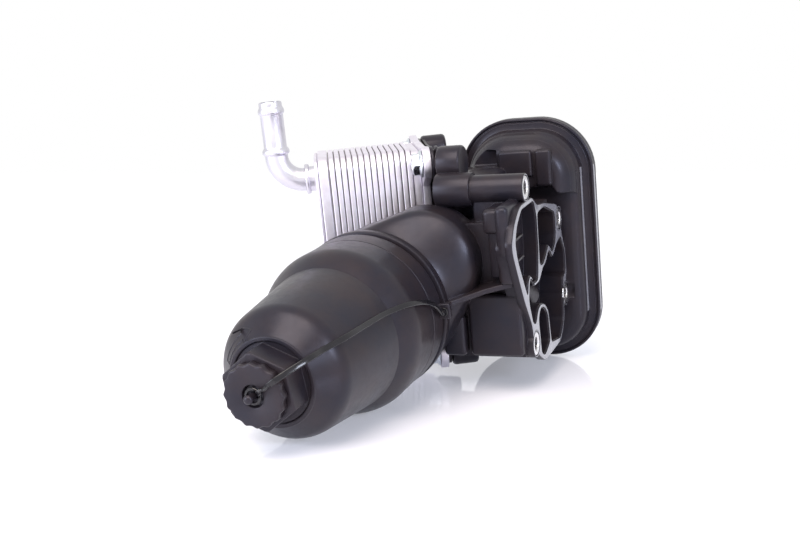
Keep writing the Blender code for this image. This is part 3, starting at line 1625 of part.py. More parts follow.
def build():
    housing_finish = housing_plastic()
    cap_finish = cap_plastic()
    aluminium = brazed_aluminium()
    rubber = seal_rubber()
    plain = inner_plastic()
    steel = zinc_steel()
    rotation, height = resting_frame()
    module = empty("module", None)
    module.matrix_world = Matrix.Translation((0, 0, height)) @ rotation
    axis = empty("filter axis", module, rotation=(-math.pi / 2, 0, 0))
    cooler = empty("cooler frame", module, COOLER_PAD, (0, 0, COOLER_TURN))

    make_housing(module, axis, cooler, housing_finish)
    make_cover(module, housing_plastic())
    make_sleeves(module, steel)
    make_cap(axis, cap_finish)
    make_cap_seal(axis, rubber)
    make_drain_plug(axis, cap_plastic())
    make_plug_seal(axis, seal_rubber())
    make_strap(axis, strap_plastic())
    make_element(axis, filter_paper(), plain)
    spider = make_cage(axis, inner_plastic())
    make_valve(axis, spider, inner_plastic(), zinc_steel())
    make_drain_back_valve(axis, seal_rubber())
    end_x = make_cooler(cooler, aluminium, brazed_aluminium())
    make_port_seals(cooler, seal_rubber())
    for i, (y, z) in enumerate(ear_places()):
        make_bolt(f"cooler_bolt_{i + 1}", cooler, y, z, zinc_steel())
    make_pipe(cooler, end_x, pipe_aluminium())
    module.location += centre_on_floor()
    for obj in PARTS.objects:
        if obj.type == "MESH":
            smooth(obj)


build()
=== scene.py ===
"""Engine oil cooler module, dressed and lit in a small studio.

Sizes are in millimetres in the module's own frame: its origin is on the filter axis at the cap's
front face, +Y runs along the filter axis to the back, +X points at the engine and +Z is up.
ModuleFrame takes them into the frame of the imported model, in metres.
"""

from __future__ import annotations

import json
import logging
import math
from dataclasses import dataclass, replace
from enum import Enum
from typing import Callable, Iterable, Sequence

import bmesh
import bpy
from mathutils import Matrix, Vector


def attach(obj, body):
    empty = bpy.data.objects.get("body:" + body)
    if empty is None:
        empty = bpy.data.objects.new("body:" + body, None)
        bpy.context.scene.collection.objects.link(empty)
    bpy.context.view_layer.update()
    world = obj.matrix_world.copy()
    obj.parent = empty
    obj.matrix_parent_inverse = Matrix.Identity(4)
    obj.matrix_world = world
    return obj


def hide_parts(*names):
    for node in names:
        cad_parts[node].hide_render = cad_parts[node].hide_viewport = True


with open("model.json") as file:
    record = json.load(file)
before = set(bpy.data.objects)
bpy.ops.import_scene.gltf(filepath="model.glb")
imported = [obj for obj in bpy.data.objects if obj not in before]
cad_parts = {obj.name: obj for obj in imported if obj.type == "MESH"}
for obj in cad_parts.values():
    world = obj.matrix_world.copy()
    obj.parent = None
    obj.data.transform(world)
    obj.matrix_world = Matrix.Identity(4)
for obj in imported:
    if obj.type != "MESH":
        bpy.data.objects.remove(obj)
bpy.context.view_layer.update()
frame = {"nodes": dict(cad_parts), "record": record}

MM = 0.001
FIT = 0.3  # gap between pieces that seat on each other
WELD_REACH = 0.0001  # vertices closer than this are one
FLATNESS = 2e-5  # a face whose corners leave its plane by more is split
FACETS_LARGE = 128  # round the cap and the neck
FACETS = 64  # round a rod
FACETS_SMALL = 48  # round a hole or a chamfer
AXIS_FRAME = Matrix.Rotation(-math.pi / 2, 4, "X")  # local z along the filter axis
ENGINE_FRAME = Matrix.Rotation(math.pi / 2, 4, "Y")  # local z towards the engine
OUTER_FRAME = Matrix.Rotation(-math.pi / 2, 4, "Y")  # local z away from the engine

log = logging.getLogger("engine_oil_cooler")


class Side(Enum):
    """The module axis that an outline is extruded along."""

    X = "X"
    Y = "Y"
    Z = "Z"


class Joinery(Enum):
    """How one solid is worked into another."""

    JOIN = "UNION"
    CUT = "DIFFERENCE"
    SHARE = "INTERSECT"


class Body(Enum):
    """The moving bodies that a piece can ride on."""

    MODULE = "module"
    CAP = "cap"
    PLUG = "plug"


# Outlines


def arc(centre: Sequence[float], radius: float, start: float, end: float, steps: int) -> list:
    """Points on an arc.

    Args:
        centre: The arc's centre.
        radius: Its radius.
        start: The first angle in degrees.
        end: The last angle in degrees.
        steps: How many chords it has.

    Returns:
        The points from start to end.
    """
    points = []
    for i in range(steps + 1):
        angle = math.radians(start + (end - start) * i / steps)
        points.append((centre[0] + radius * math.cos(angle), centre[1] + radius * math.sin(angle)))
    return points


def rounded_rectangle(
    left: float, right: float, bottom: float, top: float, radius: float, steps: int = 12
) -> list:
    """A rectangle with four round corners.

    Args:
        left: The left edge.
        right: The right edge.
        bottom: The bottom edge.
        top: The top edge.
        radius: The corners' radius.
        steps: Chords in each corner.

    Returns:
        The outline's points, anticlockwise.
    """
    points = []
    for x, y, start in (
        (right - radius, top - radius, 0), (left + radius, top - radius, 90),
        (left + radius, bottom + radius, 180), (right - radius, bottom + radius, 270),
    ):
        points += arc((x, y), radius, start, start + 90, steps)
    return points


def bent(start: Vector, corner: Vector, end: Vector, steps: int) -> list:
    """Points on the curve that leaves start and reaches end along a corner's two sides."""
    points = []
    for k in range(steps + 1):
        t = k / steps
        points.append(tuple(start * (1 - t) ** 2 + corner * 2 * t * (1 - t) + end * t * t))
    return points


def filleted(corners: Sequence[Sequence[float]], radius: float, steps: int = 6) -> list:
    """An outline whose corners are rounded, by less where a side is short.

    Args:
        corners: The corner points.
        radius: How far from a corner its curve may start.
        steps: Chords in each curve.

    Returns:
        The rounded outline's points.
    """
    points = []
    count = len(corners)
    for i, corner in enumerate(corners):
        here = Vector(corner)
        before = Vector(corners[i - 1]) - here
        after = Vector(corners[(i + 1) % count]) - here
        reach = min(radius, before.length * 0.45, after.length * 0.45)
        start = here + before.normalized() * reach
        points += bent(start, here, here + after.normalized() * reach, steps)
    return points


def grown(outline: Sequence[Sequence[float]], reach: float) -> list:
    """An outline moved outwards along its normals.

    Args:
        outline: The outline's points.
        reach: How far it is moved.

    Returns:
        The moved points.
    """
    count = len(outline)
    area = sum(
        outline[i - 1][0] * outline[i][1] - outline[i][0] * outline[i - 1][1] for i in range(count)
    )
    side = 1 if area > 0 else -1
    points = []
    for i, here in enumerate(outline):
        along = Vector(outline[(i + 1) % count]) - Vector(outline[i - 1])
        normal = Vector((along.y, -along.x)).normalized() * side
        points.append(tuple(Vector(here) + normal * reach))
    return points


def round_hull(circles: Sequence[Sequence[float]], steps: int) -> list:
    """The outline of a band stretched round some circles.

    Args:
        circles: Each circle as x, z and radius.
        steps: How many points the outline has.

    Returns:
        The outline's points in (x, z).
    """
    outline = []
    for i in range(steps):
        angle = 2 * math.pi * (i + 0.5) / steps
        way = Vector((math.cos(angle), math.sin(angle)))
        outer = max(circles, key=lambda circle: way.dot(circle[:2]) + circle[2])
        outline.append((outer[0] + outer[2] * way.x, outer[1] + outer[2] * way.y))
    return outline


def smooth_route(points: Sequence[Vector], per_span: int) -> list[Vector]:
    """A smooth curve through points.

    Args:
        points: The points that it passes through.
        per_span: How many steps it takes between two of them.

    Returns:
        The curve's points.
    """
    ends = [points[0] * 2 - points[1], *points, points[-1] * 2 - points[-2]]
    curve = []
    for a, b, c, d in zip(ends, ends[1:], ends[2:], ends[3:]):
        for i in range(per_span):
            t = i / per_span
            curve.append(
                0.5 * (2 * b + (c - a) * t + (2 * a - 5 * b + 4 * c - d) * t * t
                       + (3 * b - a - 3 * c + d) * t ** 3)
            )
    curve.append(points[-1])
    return curve


def heading(route: Sequence[Vector], i: int) -> Vector:
    """The way that a route runs at its point i."""
    return (route[min(i + 1, len(route) - 1)] - route[max(i - 1, 0)]).normalized()


def laid(outline: Sequence[Sequence[float]], place: float, side: Side) -> list:
    """An outline's points in space, at a place along one axis."""
    axis = "XYZ".index(side.value)
    return [(*point[:axis], place, *point[axis:]) for point in outline]


def around(radius: float, degrees: float, station: float) -> Vector:
    """A place round the filter axis, with the axis as local z."""
    turn = math.radians(degrees)
    return Vector((radius * math.cos(turn), -radius * math.sin(turn), station))


# Solids


def weld(shape: bmesh.types.BMesh) -> bmesh.types.BMesh:
    """Merges doubles and turns every face outwards.

    Args:
        shape: The mesh to mend.

    Returns:
        The same mesh.
    """
    bmesh.ops.remove_doubles(shape, verts=shape.verts, dist=WELD_REACH)
    bmesh.ops.recalc_face_normals(shape, faces=shape.faces)
    return shape


def lathe(
    section: Sequence[Sequence[float]], steps: int = 96, closed: bool = False
) -> bmesh.types.BMesh:
    """A solid of revolution about z.

    Args:
        section: Points as (station along z, radius).
        steps: Facets round the axis.
        closed: Whether the section is a ring clear of the axis.

    Returns:
        The turned solid.
    """
    shape = bmesh.new()
    points = [shape.verts.new((radius, 0, station)) for station, radius in section]
    edges = [shape.edges.new(pair) for pair in zip(points, points[1:])]
    if closed:
        edges.append(shape.edges.new((points[-1], points[0])))
    bmesh.ops.spin(
        shape, geom=[*points, *edges], cent=(0, 0, 0), axis=(0, 0, 1), dvec=(0, 0, 0),
        angle=2 * math.pi, steps=steps, use_merge=True, use_normal_flip=False, use_duplicate=False,
    )
    return weld(shape)


def loft(rings: Sequence[Sequence[Sequence[float]]], lids: bool = True) -> bmesh.types.BMesh:
    """A skin carried from ring to ring.

    Args:
        rings: Rings of as many points each.
        lids: Whether the first and last ring are closed.

    Returns:
        The skinned solid.
    """
    shape = bmesh.new()
    current = [shape.verts.new(point) for point in rings[0]]
    edges = [shape.edges.new((a, b)) for a, b in zip(current, current[1:] + current[:1])]
    if lids:
        shape.faces.new(current)
    for ring in rings[1:]:
        made = bmesh.ops.extrude_edge_only(shape, edges=edges)["geom"]
        fresh = {item for item in made if isinstance(item, bmesh.types.BMVert)}
        edges = [item for item in made if isinstance(item, bmesh.types.BMEdge)
                 and item.verts[0] in fresh and item.verts[1] in fresh]
        current = [
            next(e.other_vert(v) for e in v.link_edges if e.other_vert(v) in fresh)
            for v in current
        ]
        for vertex, point in zip(current, ring):
            vertex.co = point
    if lids:
        shape.faces.new(current[::-1])
    return weld(shape)


def slab(
    outline: Sequence[Sequence[float]], low: float, high: float, side: Side
) -> bmesh.types.BMesh:
    """A flat outline carried along one axis.

    Args:
        outline: Points in the plane across the axis: (y, z), (x, z) or (x, y).
        low: Where it starts.
        high: Where it ends.
        side: The axis.

    Returns:
        The solid.
    """
    shape = bmesh.new()
    base = shape.faces.new([shape.verts.new(place) for place in laid(outline, low, side)])
    way = laid([(0, 0)], high - low, side)[0]
    made = bmesh.ops.extrude_face_region(shape, geom=[base], use_keep_orig=True)["geom"]
    moved = [item for item in made if isinstance(item, bmesh.types.BMVert)]
    bmesh.ops.translate(shape, vec=way, verts=moved)
    return weld(shape)


def soften(
    shape: bmesh.types.BMesh, width: float, segments: int = 3, angle: float = 40
) -> bmesh.types.BMesh:
    """Rounds the edges that are sharper than an angle.

    Args:
        shape: The solid.
        width: The rounding's reach.
        segments: Its facets.
        angle: The least angle in degrees.

    Returns:
        The same solid.
    """
    limit = math.radians(angle)
    weld(shape)
    sharp = [e for e in shape.edges if len(e.link_faces) == 2 and e.calc_face_angle() > limit]
    bmesh.ops.bevel(
        shape, geom=sharp, offset=width, offset_type="OFFSET", segments=segments, profile=0.5,
        affect="EDGES", clamp_overlap=True, material=-1,
    )
    return weld(shape)


def block(
    low: Sequence[float], high: Sequence[float], rounding: float = 0.0, segments: int = 3
) -> bmesh.types.BMesh:
    """A box between two corners with rounded edges.

    Args:
        low: The lowest corner.
        high: The highest corner.
        rounding: The edges' radius.
        segments: Facets in each rounding.

    Returns:
        The box.
    """
    shape = bmesh.new()
    bmesh.ops.create_cube(shape, size=1)
    bmesh.ops.scale(shape, vec=Vector(high) - Vector(low), verts=shape.verts)
    bmesh.ops.translate(shape, vec=(Vector(high) + Vector(low)) / 2, verts=shape.verts)
    return soften(shape, rounding, segments) if rounding else shape


def rod(
    radius: float, start: Sequence[float], end: Sequence[float], sides: int = FACETS,
    rounding: float = 0.0, turn: float = 0.0,
) -> bmesh.types.BMesh:
    """A round bar, or a prism with few sides, between two points.

    Args:
        radius: Its radius.
        start: One end.
        end: The other end.
        sides: Facets round it.
        rounding: The radius of its sharp edges.
        turn: How far it is turned about itself, in radians.

    Returns:
        The bar.
    """
    shape = bmesh.new()
    along = Vector(end) - Vector(start)
    bmesh.ops.create_cone(
        shape, cap_ends=True, segments=sides, radius1=radius, radius2=radius, depth=along.length
    )
    if rounding:
        soften(shape, rounding, 3)
    aim = along.to_track_quat("Z", "Y").to_matrix().to_4x4() @ Matrix.Rotation(turn, 4, "Z")
    shape.transform(Matrix.Translation((Vector(start) + Vector(end)) / 2) @ aim)
    return shape


def stepped(
    outline: Callable[[float], list], steps: Sequence[Sequence[float]], side: Side
) -> bmesh.types.BMesh:
    """A solid whose outline is drawn in or out from ring to ring along one axis.

    Args:
        outline: Gives the outline for an inset.
        steps: Each ring as (inset, place along the axis).
        side: The axis.

    Returns:
        The solid.
    """
    return loft([laid(outline(inset), place, side) for inset, place in steps])


def sweep(route: Sequence[Vector], section: Sequence[Sequence[float]]) -> bmesh.types.BMesh:
    """A section carried along a route without twist.

    Args:
        route: The centre line.
        section: The section's points as (across, upwards).

    Returns:
        The swept solid.
    """
    rings = []
    upwards = Vector((0, 0, 1))
    for i, here in enumerate(route):
        ahead = heading(route, i)
        upwards = (upwards - ahead * upwards.dot(ahead)).normalized()
        across = ahead.cross(upwards)
        rings.append([here + across * a + upwards * b for a, b in section])
    return loft(rings)


def merged(shapes: Iterable[bmesh.types.BMesh]) -> bmesh.types.BMesh:
    """Several solids in one mesh, side by side.

    Args:
        shapes: The solids, which are used up.

    Returns:
        One mesh.
    """
    whole = bmesh.new()
    for shape in shapes:
        part = bpy.data.meshes.new("part")
        shape.to_mesh(part)
        shape.free()
        whole.from_mesh(part)
        bpy.data.meshes.remove(part)
    return whole


def placed(shape: bmesh.types.BMesh, name: str) -> bpy.types.Object:
    """A scene object for a mesh, which is used up."""
    mesh = bpy.data.meshes.new(name)
    shape.to_mesh(mesh)
    shape.free()
    obj = bpy.data.objects.new(name, mesh)
    bpy.context.scene.collection.objects.link(obj)
    return obj


def holder(shape: bmesh.types.BMesh, name: str) -> bpy.types.Object:
    """A scene object for one solid, which is used up, with its twisted faces split."""
    weld(shape)
    twisted = [
        face for face in shape.faces if len(face.verts) > 3 and any(
            abs((vertex.co - face.verts[0].co).dot(face.normal)) > FLATNESS
            for vertex in face.verts
        )
    ]
    bmesh.ops.triangulate(shape, faces=twisted)
    return placed(shape, name)


def worked(
    base: bmesh.types.BMesh, steps: Iterable[tuple[Joinery, bmesh.types.BMesh]]
) -> bmesh.types.BMesh:
    """A solid with others joined to it or cut from it, in order.

    Args:
        base: The solid to start with.
        steps: What is done, and the solid that it is done with.

    Returns:
        The finished solid.
    """
    for how, shape in steps:
        target, tool = holder(base, "work piece"), holder(shape, "tool")
        modifier = target.modifiers.new("step", "BOOLEAN")
        modifier.operation = how.value
        modifier.solver = "EXACT"
        modifier.object = tool
        graph = bpy.context.evaluated_depsgraph_get()
        base = bmesh.new()
        base.from_mesh(target.evaluated_get(graph).data)
        weld(base)
        for obj in (target, tool):
            mesh = obj.data
            bpy.data.objects.remove(obj)
            bpy.data.meshes.remove(mesh)
    return base


# Finishes


@dataclass(frozen=True)
class Noise:
    """A noise: cells in a metre, octaves, the fine octaves' strength, and its stretch."""

    scale: float
    detail: float = 3
    roughness: float = 0.5
    stretch: tuple = (1, 1, 1)


class NodeBench:
    """A Principled material and the nodes that feed it."""

    pattern_low = 0.3
    pattern_high = 0.7
    corner_samples = 6

    def __init__(self, name: str) -> None:
        """Starts a material.

        Args:
            name: The material's name.
        """
        self.material = bpy.data.materials.new(name)
        self.material.use_nodes = True
        self.tree = self.material.node_tree
        self.shader = self.tree.nodes["Principled BSDF"]
        self.place = self.tree.nodes.new("ShaderNodeTexCoord").outputs["Object"]

    def put(self, socket: str, value: object) -> None:
        """Sets one of the shader's own sockets."""
        self.shader.inputs[socket].default_value = value

    def feed(self, socket: str, source: bpy.types.NodeSocket) -> None:
        """Links a pattern to one of the shader's sockets."""
        self.tree.links.new(source, self.shader.inputs[socket])

    def noise(self, pattern: Noise) -> bpy.types.NodeSocket:
        """A noise pattern's value, in object coordinates."""
        node = self.tree.nodes.new("ShaderNodeTexNoise")
        node.inputs["Scale"].default_value = pattern.scale
        node.inputs["Detail"].default_value = pattern.detail
        node.inputs["Roughness"].default_value = pattern.roughness
        place = self.place
        if pattern.stretch != (1, 1, 1):
            mapping = self.tree.nodes.new("ShaderNodeMapping")
            mapping.inputs["Scale"].default_value = pattern.stretch
            self.tree.links.new(place, mapping.inputs["Vector"])
            place = mapping.outputs["Vector"]
        self.tree.links.new(place, node.inputs["Vector"])
        return node.outputs["Fac"]

    def ranged(
        self, source: bpy.types.NodeSocket, low: float, high: float
    ) -> bpy.types.NodeSocket:
        """A pattern's middle values spread from low to high."""
        node = self.tree.nodes.new("ShaderNodeMapRange")
        node.inputs["From Min"].default_value = self.pattern_low
        node.inputs["From Max"].default_value = self.pattern_high
        node.inputs["To Min"].default_value = low
        node.inputs["To Max"].default_value = high
        self.tree.links.new(source, node.inputs["Value"])
        return node.outputs["Result"]

    def blend(
        self, factor: bpy.types.NodeSocket, first: Sequence[float], second: Sequence[float]
    ) -> bpy.types.NodeSocket:
        """Two colours mixed by a pattern, the first at 0 and the second at 1."""
        node = self.tree.nodes.new("ShaderNodeMix")
        node.data_type = "RGBA"
        node.inputs["A"].default_value = (*first, 1)
        node.inputs["B"].default_value = (*second, 1)
        self.tree.links.new(factor, node.inputs["Factor"])
        return node.outputs["Result"]

    def relief(
        self, heights: Sequence[tuple[Noise, float]], depth: float, edge: float = 0.0
    ) -> None:
        """Gives the surface bumps and soft edges.

        Args:
            heights: Patterns, each with its strength.
            depth: The bumps' depth in metres.
            edge: The radius in metres that sharp edges are rounded to, where it isn't 0.
        """
        normal = None
        if edge:
            rounded = self.tree.nodes.new("ShaderNodeBevel")
            rounded.samples = self.corner_samples
            rounded.inputs["Radius"].default_value = edge
            normal = rounded.outputs["Normal"]
        for pattern, strength in heights:
            node = self.tree.nodes.new("ShaderNodeBump")
            node.inputs["Strength"].default_value = strength
            node.inputs["Distance"].default_value = depth
            self.tree.links.new(self.noise(pattern), node.inputs["Height"])
            if normal:
                self.tree.links.new(normal, node.inputs["Normal"])
            normal = node.outputs["Normal"]
        if normal:
            self.feed("Normal", normal)


@dataclass(frozen=True)
class Finish:
    """A surface: two colours clouded together, an uneven gloss, and fine bumps.

    A bold cloud shows both colours in full. The bumps' depth and the radius that sharp edges
    are rounded to are in millimetres. The shader's own sockets are set from pairs.
    """

    name: str
    first: tuple
    second: tuple
    cloud: Noise
    gloss: Noise
    roughness: tuple
    bumps: tuple
    depth: float
    edge: float = 0.0
    bold: bool = False
    sockets: tuple = ()

    def make(self) -> bpy.types.Material:
        """The finish as a material."""
        bench = NodeBench(self.name)
        cloud = bench.noise(self.cloud)
        if self.bold:
            cloud = bench.ranged(cloud, 0, 1)
        bench.feed("Base Color", bench.blend(cloud, self.first, self.second))
        bench.feed("Roughness", bench.ranged(bench.noise(self.gloss), *self.roughness))
        for socket, value in self.sockets:
            bench.put(socket, value)
        bench.relief(self.bumps, self.depth * MM, self.edge * MM)
        return bench.material


METAL = (("Metallic", 1.0),)
SOFT_SHEEN = (("Specular IOR Level", 0.27), ("Specular Tint", (0.85, 0.86, 1.0, 1)))
GRAIN = ((Noise(1700, 2, 0.6), 0.10), (Noise(120), 0.04))

# glass-filled plastic: nearly black, a soft sheen, and a fine grain
HOUSING_PLASTIC = Finish(
    "housing_plastic", first=(0.011, 0.0105, 0.016), second=(0.020, 0.0145, 0.0155),
    cloud=Noise(38, 4, 0.6), gloss=Noise(260, 3, 0.65), roughness=(0.28, 0.38), bumps=GRAIN,
    depth=0.2, edge=0.8, bold=True, sockets=SOFT_SHEEN,
)
CAP_PLASTIC = replace(
    HOUSING_PLASTIC, name="cap_plastic", first=(0.012, 0.0115, 0.017),
    second=(0.022, 0.0155, 0.0165),
)
# the smooth face of the flange's walls, pressed flat for its gasket: its low roughness is real, its
# pale grey colour is painted highlight
SMOOTH_LAND_PAINTED_HIGHLIGHT = Finish(
    "smooth_land_painted_highlight", first=(0.16, 0.16, 0.18), second=(0.26, 0.26, 0.29), cloud=Noise(90),
    gloss=Noise(300), roughness=(0.10, 0.20), bumps=((Noise(600, 2), 0.04),), depth=0.1, edge=0.3,
    sockets=(("IOR", 1.8),),
)
# smooth flexible plastic with faint flow marks
STRAP_PLASTIC = Finish(
    "strap_plastic", first=(0.007, 0.007, 0.009), second=(0.012, 0.011, 0.013), cloud=Noise(90),
    gloss=Noise(150, 2), roughness=(0.12, 0.2), bumps=((Noise(60, 2), 0.05),), depth=0.2,
    sockets=(("Specular IOR Level", 0.35),),
)
# bright sheet from the brazing oven: mottled, with fine rolling lines
SHEET_ALUMINIUM = Finish(
    "sheet_aluminium", first=(0.75, 0.73, 0.80), second=(0.67, 0.63, 0.69),
    cloud=Noise(140, 5, 0.65), gloss=Noise(420, 4, 0.7), roughness=(0.40, 0.54),
    bumps=((Noise(500, 3, 0.6, (1, 1, 0.08)), 0.06), (Noise(900, 3, 0.7), 0.08)), depth=0.12,
    edge=0.35, bold=True, sockets=METAL,
)
# a dull dark grey for the faces at the bottom of each groove between plates: painted shade, where
# the groove hides the light
GROOVE_PAINTED_SHADE = Finish(
    "groove_painted_shade", first=(0.16, 0.15, 0.16), second=(0.30, 0.28, 0.29), cloud=Noise(300),
    gloss=Noise(500, 2), roughness=(0.5, 0.7), bumps=((Noise(800), 0.3),), depth=0.2,
    sockets=(("Metallic", 0.6),),
)
# drawn aluminium tube with faint lines along it
DRAWN_TUBE = Finish(
    "drawn_tube", first=(0.66, 0.65, 0.70), second=(0.58, 0.57, 0.63), cloud=Noise(120, 4),
    gloss=Noise(300), roughness=(0.28, 0.40),
    bumps=((Noise(700, 2, 0.6, (1, 1, 0.05)), 0.02), (Noise(200), 0.015)), depth=0.1,
    sockets=METAL,
)
# bright zinc plate with a cool, cloudy gloss
ZINC_PLATE = Finish(
    "zinc_plate", first=(0.78, 0.82, 0.86), second=(0.62, 0.66, 0.72), cloud=Noise(260, 4),
    gloss=Noise(420), roughness=(0.14, 0.28), bumps=((Noise(350), 0.03),), depth=0.15, edge=0.4,
    bold=True, sockets=METAL,
)
# steel from the lathe, with fine scratches and a light oxide
TURNED_STEEL = Finish(
    "turned_steel", first=(0.80, 0.80, 0.82), second=(0.62, 0.61, 0.62), cloud=Noise(220, 4),
    gloss=Noise(900, 2), roughness=(0.20, 0.36),
    bumps=((Noise(900, 2, 0.5, (4, 0.4, 0.4)), 0.05),), depth=0.1, edge=0.3, bold=True,
    sockets=METAL,
)
# black rubber with a dusty, slightly rough skin
SEAL_RUBBER = Finish(
    "seal_rubber", first=(0.014, 0.014, 0.015), second=(0.034, 0.033, 0.032), cloud=Noise(200, 4),
    gloss=Noise(500), roughness=(0.6, 0.85), bumps=((Noise(1200, 2), 0.15),), depth=0.15,
)
# resin-soaked tan paper with short fibres
FIBRES = Noise(1500, 4, 0.7, (1, 0.25, 1))
FILTER_PAPER = Finish(
    "filter_paper", first=(0.66, 0.46, 0.20), second=(0.84, 0.66, 0.36), cloud=FIBRES,
    gloss=Noise(700, 2), roughness=(0.78, 0.95), bumps=((FIBRES, 0.35),), depth=0.2, bold=True,
)
# dark grey moulded plastic with a satin face
INNER_PLASTIC = Finish(
    "inner_plastic", first=(0.085, 0.085, 0.095), second=(0.13, 0.13, 0.14), cloud=Noise(60, 4),
    gloss=Noise(350), roughness=(0.42, 0.6), bumps=((Noise(1400, 2), 0.2),), depth=0.2, edge=0.4,
)


@dataclass
class Palette:
    """Every finish of the part, made once."""

    housing: bpy.types.Material
    cap: bpy.types.Material
    # the lands' finish: a pale colour painted as their highlight
    land: bpy.types.Material
    strap: bpy.types.Material
    sheet: bpy.types.Material
    # the grooves' finish: a dark colour painted as the shade in them
    seam: bpy.types.Material
    tube: bpy.types.Material
    zinc: bpy.types.Material
    steel: bpy.types.Material
    rubber: bpy.types.Material
    paper: bpy.types.Material
    inner: bpy.types.Material

    @classmethod
    def mixed(cls) -> "Palette":
        """All the finishes."""
        return cls(*(finish.make() for finish in (
            HOUSING_PLASTIC, CAP_PLASTIC, SMOOTH_LAND_PAINTED_HIGHLIGHT, STRAP_PLASTIC, SHEET_ALUMINIUM, GROOVE_PAINTED_SHADE,
            DRAWN_TUBE, ZINC_PLATE, TURNED_STEEL, SEAL_RUBBER, FILTER_PAPER, INNER_PLASTIC,
        )))


# The bench that pieces leave from


@dataclass(frozen=True)
class ModuleFrame:
    """The module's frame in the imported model, from millimetres to metres."""

    turn: Matrix
    origin: Vector

    @classmethod
    def from_record(cls, record: dict) -> "ModuleFrame":
        """Reads the frame from the cap's joint and the flange's mount.

        Args:
            record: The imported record.

        Returns:
            The module's frame.
        """
        joint = next(j for j in record["behaviour"]["joints"] if j["name"] == "cap_turn")
        back = -Vector(joint["axis"]).normalized()
        face = Vector(record["mounts"][0]["axis"])
        right = (face - back * face.dot(back)).normalized()
        turn = Matrix((right, back, right.cross(back))).transposed()
        return cls(turn, Vector(joint["pos_m"]))

    @property
    def matrix(self) -> Matrix:
        """The whole move from module millimetres to metres."""
        return Matrix.Translation(self.origin) @ self.turn.to_4x4() @ Matrix.Scale(MM, 4)


@dataclass
class Bench:
    """Places finished meshes in the scene as pieces."""

    place: ModuleFrame
    palette: Palette

    def issue(
        self, name: str, shape: bmesh.types.BMesh, finish: bpy.types.Material,
        stands_for: Sequence[str], body: Body = Body.MODULE, sharp: float = 30,
        second: bpy.types.Material | None = None,
    ) -> None:
        """Makes one piece of a mesh.

        Args:
            name: The piece's name.
            shape: Its mesh, which is used up.
            finish: Its material.
            stands_for: The CAD nodes that it replaces.
            body: The body that it rides on.
            sharp: Edges over this many degrees stay crisp.
            second: Another material, for faces with material index 1.
        """
        weld(shape)
        shape.transform(self.place.matrix)
        piece = placed(shape, name)
        mesh = piece.data
        mesh.materials.append(finish)
        if second:
            mesh.materials.append(second)
        mesh.shade_smooth()
        mesh.set_sharp_from_angle(angle=math.radians(sharp))
        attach(piece, body.value)
        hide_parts(*stands_for)
        log.info("%s: %d faces, rides on %s", name, len(mesh.polygons), body.value)


# Sub-assemblies


